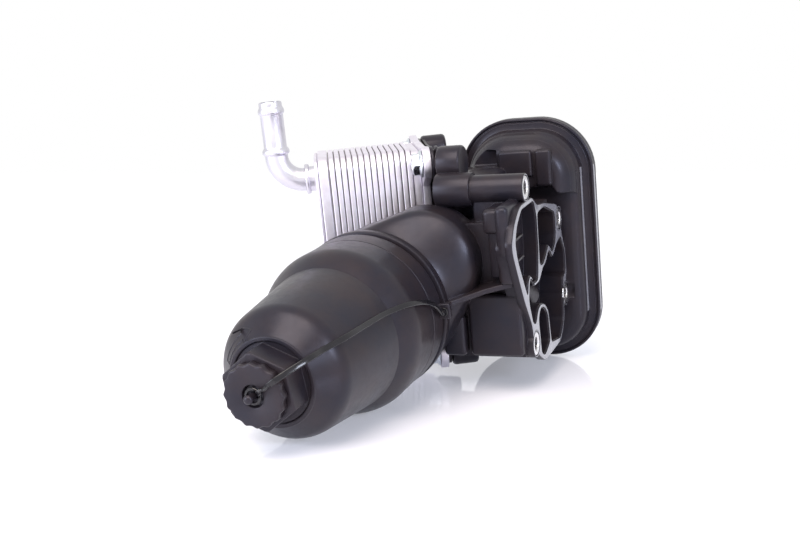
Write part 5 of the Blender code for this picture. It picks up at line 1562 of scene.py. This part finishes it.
@dataclass
class EngineFlange:
    """The open flange that bolts to the engine: walls, pockets, bosses and knuckles."""

    face: float = 90
    depth: float = 12
    edge_depth: float = 4.5
    core_depth: float = 21
    core_front: float = 26
    front: float = 128.5
    back: float = 262
    top: float = 57
    bottom: float = -52
    pocket_depth: float = 17
    front_pocket_depth: float = 9.5
    sleeve_radius: float = 7.4
    sleeve_bore: float = 4.3
    sleeve_wall: float = 1.3
    access_radius: float = 9.4
    land: float = 0.8
    sleeve_heads: tuple = (55, 53, 66, 66)
    top_boss: tuple = (167.5, 65)
    bottom_boss: tuple = (168.5, -33)
    knuckles: tuple = (  # (low corner, high corner, rounding, facets)
        ((69.3, 141, 42), (80, 171.7, 56.9), 3.2, 6), ((70.5, 147, 14), (79.5, 172.4, 44), 1.6, 3),
        ((78.7, 134.5, 29.5), (86.8, 172.9, 59.5), 3.2, 6),
        ((77.5, 139, 12), (86.4, 173.3, 32), 2.6, 4),
    )
    pocket_ribs: tuple = (  # (low (y, z), high (y, z), height), in two pockets of their own depth
        ((139, 37.2), (160, 38.8), 8), ((142.5, 24.2), (160, 25.8), 8), ((214, 20), (215.6, 42), 9),
    )
    passage: tuple = ((163, -2), (176, -3.5), (190, -6), (205, -12))  # (y, z) of its middle
    passage_radius: float = 7.5

    @property
    def sleeves(self) -> tuple:
        """The (y, z) of the four bolt sleeves."""
        return (
            self.top_boss, self.bottom_boss, (self.back - 14, 30), (self.back - 6.5, -24.5)
        )

    def corners(self) -> list:
        """The flange's corners in (y, z), from its front tip."""
        front, back, top, bottom = self.front, self.back, self.top, self.bottom
        return [
            (front, 38), (front + 1, 32), (front + 18, 1), (self.bottom_boss[0] - 7, -20),
            (self.bottom_boss[0] - 6, self.bottom_boss[1] - 1),
            (self.bottom_boss[0] + 1, self.bottom_boss[1] - 7),
            (self.bottom_boss[0] + 18, bottom + 1), (back - 26, bottom), (back - 14, bottom + 12),
            (back - 13, -30), (back, -14), (back + 1, 4), (back - 8, 19), (back - 14, 40),
            (back - 52, 48), (back - 71, 50), (self.top_boss[0] + 14, top), (front + 22, top),
            (front + 7, 48),
        ]

    def shrunk(self, share: float) -> list:
        """The flange's corners drawn towards its middle."""
        middle = Vector(((self.front + self.back) / 2, (self.top + self.bottom) / 2))
        return [tuple(middle + (Vector(corner) - middle) * share) for corner in self.corners()]

    def core_corners(self) -> list:
        """The corners of the thicker part behind the flange's edge."""
        return [(max(y, self.front + self.core_front), z) for y, z in self.shrunk(0.97)]

    def pockets(self) -> list:
        """The open chambers in the face, as (outline in (y, z), depth)."""
        front, back = self.front, self.back
        filter_side = [
            (front + 8.5, 37.5), (front + 11.5, 27), (front + 27.5, 1), (front + 31, 9.5),
            (front + 36, 12), (front + 40.5, 9.5), (front + 43, 5), (front + 54, 4.5),
            (front + 59, 22), (front + 60, 43), (front + 55.5, 53.5), (front + 26, 53.5),
            (front + 14, 46),
        ]
        upper = [
            (front + 63, 44.5), (front + 61.5, 12), (front + 70, 11), (front + 78, 15),
            (front + 86, 20), (front + 90.5, 17), (front + 95, 12.5), (front + 104, 16),
            (front + 108, 21), (front + 108.5, 36), (front + 82, 45),
        ]
        crescent = [
            (back - 12, 17), (back - 24, 14.5), (back - 34, 10), (back - 38, 8.5), (back - 44, 14),
            (back - 49, 15), (back - 57, 9.5), (front + 68, 8), (front + 57, 2), (front + 45, 2),
            (front + 41, 6.5), (front + 36.5, 9.2), (front + 33.5, 6.5), (front + 30, -3),
            (front + 36, -18), (front + 42, -20.5), (front + 50, -13), (front + 58, -12),
            (front + 68, -15), (front + 75.5, -22), (front + 78.5, -44), (back - 29, -49),
            (back - 17, -40), (back - 15.5, -28), (back - 11, -11), (back - 3, -9),
            (back - 2.4, 4),
        ]
        slot = [
            (front + 50, -20.5), (front + 54, -16), (front + 60, -15.5), (front + 67, -18.5),
            (front + 72.5, -24), (front + 75, -42), (front + 60, -46.5), (front + 52, -43),
        ]
        return [
            (filter_side, self.front_pocket_depth), (upper, self.pocket_depth),
            (crescent, self.pocket_depth), (slot, self.pocket_depth),
        ]

    def solids(self) -> list[bmesh.types.BMesh]:
        """What the flange adds to the housing."""
        face = self.face
        plate = slab(filleted(self.corners(), 8), face - self.edge_depth, face, Side.X)
        soften(plate, 0.5, 2, 60)
        core = slab(filleted(self.core_corners(), 8), face - self.core_depth, face - 2, Side.X)
        soften(core, 0.7, 2, 60)
        wall = slab(filleted(self.shrunk(0.91), 8), face - self.depth, face - 2.6, Side.X)
        soften(wall, 0.6, 2, 60)
        found = [plate, core, wall, *(block(*knuckle) for knuckle in self.knuckles)]
        for (y, z), head in zip(self.sleeves, self.sleeve_heads):
            radius = self.sleeve_radius + self.sleeve_wall
            found.append(rod(radius, (head + 0.2, y, z), (face + 0.2, y, z), FACETS, 0.5))
        y, z = self.top_boss
        found.append(block((57.6, y - 5, 38.7), (face - 3.9, y + 12.4, z - 2.3), 1.5, 3))
        return found

    def cuts(self) -> list[bmesh.types.BMesh]:
        """What is cut from the housing at the flange."""
        face = self.face
        found = []
        for corners, depth in self.pockets():
            outline = filleted(corners, 3.5, 5)
            found.append(slab(outline, face - depth, face + 5, Side.X))
            found.append(slab(grown(outline, 0.75), face - self.land, face + 6, Side.X))
        for i, ((y, z), head) in enumerate(zip(self.sleeves, self.sleeve_heads)):
            found.append(rod(self.sleeve_radius + FIT, (head - 5, y, z), (face + 5, y, z)))
            if i < 2:
                found.append(rod(self.access_radius, (-20, y, z), (head - FIT, y, z)))
        return found

    def fittings(self) -> list[bmesh.types.BMesh]:
        """Small ribs on the pockets' floors, and the round passage seen in the lower one."""
        found = []
        for (low_y, low_z), (high_y, high_z), height in self.pocket_ribs:
            in_front = high_y < self.front + 60
            floor = self.face - (self.front_pocket_depth if in_front else self.pocket_depth)
            found.append(
                block((floor - 1, low_y, low_z), (floor + height, high_y, high_z), 0.5, 2)
            )
        floor = self.face - self.pocket_depth
        middle = [Vector((floor + 3.5, y, z)) for y, z in self.passage]
        section = arc((0, 0), self.passage_radius, 0, 360 * 31 / 32, 31)
        found.append(sweep(smooth_route(middle, 5), section))
        return found

    def make_sleeves(self, bench: Bench) -> None:
        """Builds the four steel sleeves and dresses them."""
        for i, ((y, z), head) in enumerate(zip(self.sleeves, self.sleeve_heads)):
            outer, bore, face = self.sleeve_radius, self.sleeve_bore, self.face
            sleeve = lathe(
                [(head, bore + 0.5), (head, outer - 0.5), (head + 0.5, outer), (face - 0.5, outer),
                 (face, outer - 0.5), (face, bore + 0.6), (face - 0.6, bore), (head + 0.5, bore)],
                72, closed=True,
            )
            sleeve.transform(Matrix.Translation((0, y, z)) @ ENGINE_FRAME)
            bench.issue(
                f"steel_sleeve_{i + 1}", sleeve, bench.palette.steel,
                [f"flange_sleeve_{i + 1}"],
            )


@dataclass
class FilterHousing:
    """The moulding that carries everything: neck, body, galleries, pad, flange and chamber."""

    cooler: PlateCooler
    flange: EngineFlange
    chamber: BreatherChamber
    collar_station: float = 121.7
    collar_radius: float = 49.7
    collar_length: float = 6
    bowl_radius: float = 45
    bowl_depth: float = 30
    neck_radius: float = 47.9
    neck_floor: float = 7
    body_radius: float = 47.3
    shoulder: tuple = (28, 22.7)
    shoulder_radius: float = 34.9
    crown: tuple = (5.5, 4)
    crown_radius: float = 45.8
    widening: float = 21
    tail: float = 153
    tail_shift: tuple = (12, 10)
    tail_shrink: float = 13
    body_back: float = 168.7
    body_round: float = 3
    gallery_back: float = 234
    can_place: tuple = (180, 80)
    can_radius: float = 11
    can_ends: tuple = (33, 48.5)
    access_tube: tuple = (34.6, 57.3)
    access_tube_radius: float = 10.6
    land_reach: float = 0.1  # faces this near the flange's face, and turned to it, are its land, which is painted pale as highlight
    land_facing: float = 0.99
    shelf_level: float = 64
    shelf_slope: float = 0.2
    pad_thickness: float = 5
    port_radius: float = 9
    port_spread: float = 84

    @property
    def bowl_floor(self) -> float:
        """The station of the bowl's floor."""
        return self.collar_station + self.bowl_depth

    def circles(self, y: float, inset: float) -> list:
        """The circles that the body's outline is stretched round.

        Args:
            y: The station along the axis.
            inset: How far the outline is drawn in.

        Returns:
            Each circle as x, z and radius.
        """
        share = min(1.0, (y - self.collar_station - 2) / self.widening)
        full = share * share * (3 - 2 * share)
        tail = max(0.0, (y - self.tail) / (self.body_back - self.tail))
        shift_x, shift_z = self.tail_shift[0] * tail, self.tail_shift[1] * tail
        circles = [(shift_x, shift_z, self.body_radius - inset - self.tail_shrink * tail)]
        for (x, z), widest, drawn in (
            (self.crown, self.crown_radius, 1), (self.shoulder, self.shoulder_radius, 0)
        ):
            radius = self.body_radius + (widest - self.body_radius) * full - inset
            radius -= self.tail_shrink * tail * drawn
            circles.append((x * full + shift_x * drawn, z * full + shift_z * drawn, radius))
        return circles

    def body(self, steps: int = 144) -> bmesh.types.BMesh:
        """The body behind the neck, which widens towards the flange."""
        front = self.collar_station + 2
        stations = [(front + self.widening * i / 14, 0.0) for i in range(15)]
        stations += [(149.0, 0.0), (self.tail, 0.0), (157.0, 0.0), (161.0, 0.0)]
        for i in range(6):
            angle = math.pi / 10 * i
            inset = self.body_round * (1 - math.cos(angle))
            stations.append((self.body_back - self.body_round * (1 - math.sin(angle)), inset))
        return loft([
            laid(round_hull(self.circles(y, inset), steps), y, Side.Y) for y, inset in stations
        ])

    def neck(self) -> bmesh.types.BMesh:
        """The collar and neck that take the cap."""
        collar, floor = self.collar_station, self.bowl_floor
        edge = self.collar_radius
        neck = lathe(
            [(collar, 0), (collar, edge - 1.0), (collar + 0.3, edge - 0.3), (collar + 1.0, edge),
             (collar + self.collar_length - 0.8, edge), (collar + self.collar_length, edge - 0.3),
             (collar + self.collar_length + 0.9, edge - 1.0),
             (collar + self.collar_length + 2, self.neck_radius),
             (floor - 4, self.neck_radius), (floor + self.neck_floor - 4, self.neck_radius - 5),
             (floor + self.neck_floor, self.neck_radius - 14), (floor + self.neck_floor, 0)],
            FACETS_LARGE,
        )
        neck.transform(AXIS_FRAME)
        return neck

    def galleries(self) -> list[bmesh.types.BMesh]:
        """The oil passages, their blocks, and the sensor can on its saddle."""
        turn = math.radians(self.cooler.turn)
        way = Vector((-math.sin(turn), math.cos(turn), 0))
        near = Vector(self.cooler.pad) + way * 8
        far = Vector(self.cooler.pad) + way * (self.cooler.depth - 4)
        face = self.flange.face
        start = self.body_back - 12
        gallery = [
            (38, start), (face - 4, start), (face - 4, self.gallery_back),
            (far.x + 12, self.gallery_back), (far.x + 2, far.y - 1), (near.x + 2, near.y),
        ]
        dome = self.chamber.dome_station + 2
        arm = [(20, self.gallery_back - 8), (face - 7, self.gallery_back - 8), (face - 7, dome),
               (20, dome)]
        upper = [(32, 182), (56, 176), (56, dome), (20, dome), (20, 210)]
        left, right = self.can_ends
        y, z = self.can_place
        tube = [(x, *self.flange.top_boss) for x in self.access_tube]
        return [
            slab(gallery, -38, 46, Side.Z),
            soften(slab(arm, -11, 17, Side.Z), 1.5, 3),
            soften(slab(upper, 40, 66, Side.Z), 4.0, 5),
            block((left + 2.3, y - 6.7, 58.6), (right - 2.3, y + 8.6, z - 2.2)),
            rod(self.can_radius, (left, y, z), (right, y, z), 72, 1.6),
            rod(self.access_tube_radius, tube[0], tube[1], FACETS, 0.5),
            block((53, 150, -36), (face - 3.7, 203.6, 3.2), 2.6, 4),
            block((36.3, 148.2, -35.6), (50.5, 186.4, -10), 2.4, 4),
        ]

    def shelf(self) -> bmesh.types.BMesh:
        """The web between the collar and the flange."""
        radius, face = self.collar_radius, self.flange.face
        front, tip = self.collar_station + 1.2, self.flange.front
        outline = [
            (radius - 8, front), (radius + 3, front), (face - 21, tip + 9), (face - 4.6, tip + 14),
            (face - 4.6, self.body_back - 1.3), (radius - 8, self.body_back - 1.3),
        ]
        web = soften(slab(outline, 6, 9.2, Side.Z), 0.6, 3)
        for vertex in web.verts:  # it climbs towards the flange
            vertex.co.z += (vertex.co.x - self.shelf_level) * self.shelf_slope
        return web

    def pad(self) -> list[bmesh.types.BMesh]:
        """The cooler's pad, two thin layers on a core, with a boss behind each bolt."""
        cooler = self.cooler
        found = [
            slab(cooler.eared(2.6), 0, 1.9, Side.X),
            slab(cooler.eared(4.6), 1.2, 4.2, Side.X),
            slab(cooler.eared(2.6), 3.3, self.pad_thickness, Side.X),
        ]
        thickness = self.pad_thickness
        for y, z in cooler.ears:
            boss = ((thickness / 2, y, z), (cooler.bolt_grip + 8, y, z))
            found.append(rod(cooler.ear_radius - 1, *boss, FACETS, 2.4))
        y, z = cooler.ears[0]
        for low, high in ((0.02, 1.87), (3.33, thickness - 0.03)):
            found.append(rod(cooler.ear_radius, (low, y, z), (high, y, z), 72, 0.4))
        fin = [(y - 10.3, z), (y - 12, z - 16), (y - 18, z - 40), (y + 8, z - 44), (y + 8, z)]
        found.append(slab(fin, 3.4, thickness - 0.1, Side.X))
        return found

    def pad_cuts(self) -> list[bmesh.types.BMesh]:
        """The blind bolt holes and the two oil ports with their seal grooves."""
        cooler = self.cooler
        found = [
            rod(cooler.bolt_radius + FIT, (-5, y, z), (cooler.bolt_grip + FIT, y, z), FACETS_SMALL)
            for y, z in cooler.ears
        ]
        middle, centre = (cooler.top + cooler.bottom) / 2, cooler.depth / 2
        for z in (middle - self.port_spread / 2, middle + self.port_spread / 2):
            found.append(rod(self.port_radius, (-5, centre, z), (4, centre, z), FACETS_SMALL))
            found.append(rod(self.port_radius + 3.4, (-5, centre, z), (2.6, centre, z)))
        return found

    def make(self, bench: Bench) -> None:
        """Builds the housing as one moulding and dresses it."""
        joined = [self.neck(), *self.galleries(), self.shelf(), *self.flange.solids()]
        joined += [self.chamber.front(), self.chamber.hood(), *self.chamber.panels()]
        for shape in self.pad():
            shape.transform(self.cooler.frame)
            joined.append(shape)
        open_end = self.collar_station - 20
        bowl = rod(self.bowl_radius, (0, 0, open_end), (0, 0, self.bowl_floor), FACETS_LARGE)
        bowl.transform(AXIS_FRAME)
        removed = [bowl, *self.flange.cuts(), *self.chamber.hollows()]
        for shape in self.pad_cuts():
            shape.transform(self.cooler.frame)
            removed.append(shape)
        steps = [(Joinery.JOIN, shape) for shape in joined]
        steps += [(Joinery.CUT, shape) for shape in removed]
        steps += [(Joinery.JOIN, shape) for shape in self.flange.fittings()]
        shell = worked(self.body(), steps)
        land = self.flange.face - self.land_reach
        # the lands' faces get the second material, whose pale colour is painted highlight
        for face in shell.faces:
            if face.normal.x > self.land_facing and face.calc_center_median().x > land:
                face.material_index = 1
        bench.issue(
            "moulded_housing", shell, bench.palette.housing, ["housing"],
            sharp=32, second=bench.palette.land,
        )


@dataclass
class InnerParts:
    """The pieces inside the module, which keep their solids and get their finishes."""

    rubber: tuple = (
        "cap_seal", "drain_plug_seal", "port_seal_1", "port_seal_2", "drain_back_valve",
    )
    plastic: tuple = ("element_cap_front", "element_cap_rear", "support_cage", "bypass_valve")
    paper: tuple = ("filter_element",)
    steel: tuple = ("bypass_spring",)

    def make(self, bench: Bench) -> None:
        """Dresses each inner node."""
        palette = bench.palette
        for names, finish in (
            (self.rubber, palette.rubber), (self.plastic, palette.inner),
            (self.paper, palette.paper), (self.steel, palette.steel),
        ):
            for name in names:
                node = frame["nodes"][name]
                node.data.materials.clear()
                node.data.materials.append(finish)
                log.info("%s: dressed in %s", name, finish.name)


@dataclass(frozen=True)
class Lamp:
    """A square soft lamp: its place and side in metres, its power in watts and its colour."""

    name: str
    place: tuple
    side: float
    power: float
    colour: tuple


@dataclass
class Studio:
    """A pale glossy table, soft lamps and the camera."""

    place: ModuleFrame
    eye: tuple = (241.9, -402.0, 158.2)  # millimetres in the module's frame
    level: tuple = (0.0491, 0.1384, 0.9892)  # the photograph's up in the module's frame
    pan: float = 21.49
    dip: float = 6.58
    lens: float = 44.53
    sensor: float = 36
    nearest: float = 0.01
    fill: tuple = (0.90, 0.92, 1.0, 1)
    fill_strength: float = 0.6
    table_half: float = 6
    table: tuple = (  # the sockets of its shader
        ("Base Color", (0.86, 0.865, 0.91, 1)), ("Roughness", 0.05), ("Specular IOR Level", 0.25),
        ("Emission Color", (0.92, 0.93, 1.0, 1)), ("Emission Strength", 0.25),
    )
    aim: tuple = (0.02, 0.0, 0.06)
    lamps: tuple = (
        Lamp("overhead", (0.05, -0.8, 1.1), 1.0, 21, (1.0, 0.88, 0.80)),
        Lamp("left", (-0.9, -1.0, 0.4), 0.7, 13, (0.84, 0.88, 1.0)),
        Lamp("right", (1.1, -0.6, 0.5), 0.35, 9, (0.78, 0.84, 1.0)),
    )

    def camera(self) -> None:
        """The camera, set from the module so that it keeps the photograph's view."""
        up = Vector(self.level).normalized()
        ahead = Vector((0, 1, 0))
        ahead = (ahead - up * ahead.dot(up)).normalized()
        view = Matrix((ahead.cross(up), ahead, up)).transposed()
        view = view @ Matrix.Rotation(math.radians(self.pan), 3, "Z")
        view = view @ Matrix.Rotation(math.radians(90 - self.dip), 3, "X")
        data = bpy.data.cameras.new("camera")
        data.lens = self.lens
        data.sensor_width = self.sensor
        data.sensor_fit = "HORIZONTAL"
        data.clip_start = self.nearest
        camera = bpy.data.objects.new("camera", data)
        camera.matrix_world = (
            Matrix.Translation(self.place.matrix @ Vector(self.eye))
            @ (self.place.turn @ view).to_4x4()
        )
        bpy.context.scene.collection.objects.link(camera)
        bpy.context.scene.camera = camera

    def world(self) -> None:
        """White where the camera and reflections see it, and a soft even light elsewhere."""
        world = bpy.data.worlds.new("studio")
        bpy.context.scene.world = world
        world.use_nodes = True
        tree = world.node_tree
        shown = tree.nodes["Background"]
        shown.inputs["Color"].default_value = (1, 1, 1, 1)
        shown.inputs["Strength"].default_value = 1.0
        fill = tree.nodes.new("ShaderNodeBackground")
        fill.inputs["Color"].default_value = self.fill
        fill.inputs["Strength"].default_value = self.fill_strength
        self.show_white(tree, fill.outputs[0], shown.outputs[0], tree.nodes["World Output"])

    @staticmethod
    def show_white(
        tree: bpy.types.NodeTree, usual: bpy.types.NodeSocket, white: bpy.types.NodeSocket,
        output: bpy.types.Node,
    ) -> None:
        """Shows one shader to the camera, to reflections and through glass, another elsewhere.

        Args:
            tree: The node tree.
            usual: The shader for other rays.
            white: The shader that is seen.
            output: The tree's output node.
        """
        path = tree.nodes.new("ShaderNodeLightPath")
        total = path.outputs["Is Camera Ray"]
        for name in ("Is Glossy Ray", "Is Transmission Ray"):
            add = tree.nodes.new("ShaderNodeMath")
            add.operation = "ADD"
            add.use_clamp = True
            tree.links.new(total, add.inputs[0])
            tree.links.new(path.outputs[name], add.inputs[1])
            total = add.outputs[0]
        mix = tree.nodes.new("ShaderNodeMixShader")
        tree.links.new(total, mix.inputs["Fac"])
        tree.links.new(usual, mix.inputs[1])
        tree.links.new(white, mix.inputs[2])
        tree.links.new(mix.outputs[0], output.inputs["Surface"])

    def floor(self) -> None:
        """The glossy pale table."""
        shape = bmesh.new()
        bmesh.ops.create_grid(shape, x_segments=1, y_segments=1, size=self.table_half)
        table = placed(shape, "table")
        bench = NodeBench("pale_table")
        for socket, value in self.table:
            bench.put(socket, value)
        table.data.materials.append(bench.material)

    def light(self, lamp: Lamp) -> None:
        """Sets one lamp to shine at the module."""
        data = bpy.data.lights.new(lamp.name, "AREA")
        data.shape = "SQUARE"
        data.size = lamp.side
        data.energy = lamp.power
        data.color = lamp.colour
        obj = bpy.data.objects.new(lamp.name, data)
        obj.location = lamp.place
        way = Vector(self.aim) - Vector(lamp.place)
        obj.rotation_euler = way.to_track_quat("-Z", "Y").to_euler()
        bpy.context.scene.collection.objects.link(obj)

    def make(self) -> None:
        """Sets up the camera, the table and the light."""
        self.camera()
        self.world()
        self.floor()
        for lamp in self.lamps:
            self.light(lamp)
        bpy.context.scene.view_settings.view_transform = "Standard"


def main() -> None:
    """Builds and dresses every sub-assembly, then sets the studio."""
    logging.basicConfig(level=logging.INFO, format="%(name)s: %(message)s")
    place = ModuleFrame.from_record(frame["record"])
    bench = Bench(place, Palette.mixed())
    cooler = PlateCooler()
    flange = EngineFlange()
    chamber = BreatherChamber()
    cap = FilterCap()
    plug = DrainPlug()
    FilterHousing(cooler, flange, chamber).make(bench)
    chamber.make_cover(bench)
    flange.make_sleeves(bench)
    cap.make(bench)
    plug.make(bench)
    TetherStrap(cap, plug).make(bench)
    cooler.make(bench)
    CoolerBolts(cooler).make(bench)
    CoolantPipe(cooler).make(bench)
    InnerParts().make(bench)
    Studio(place).make()


if __name__ == "__main__":
    main()
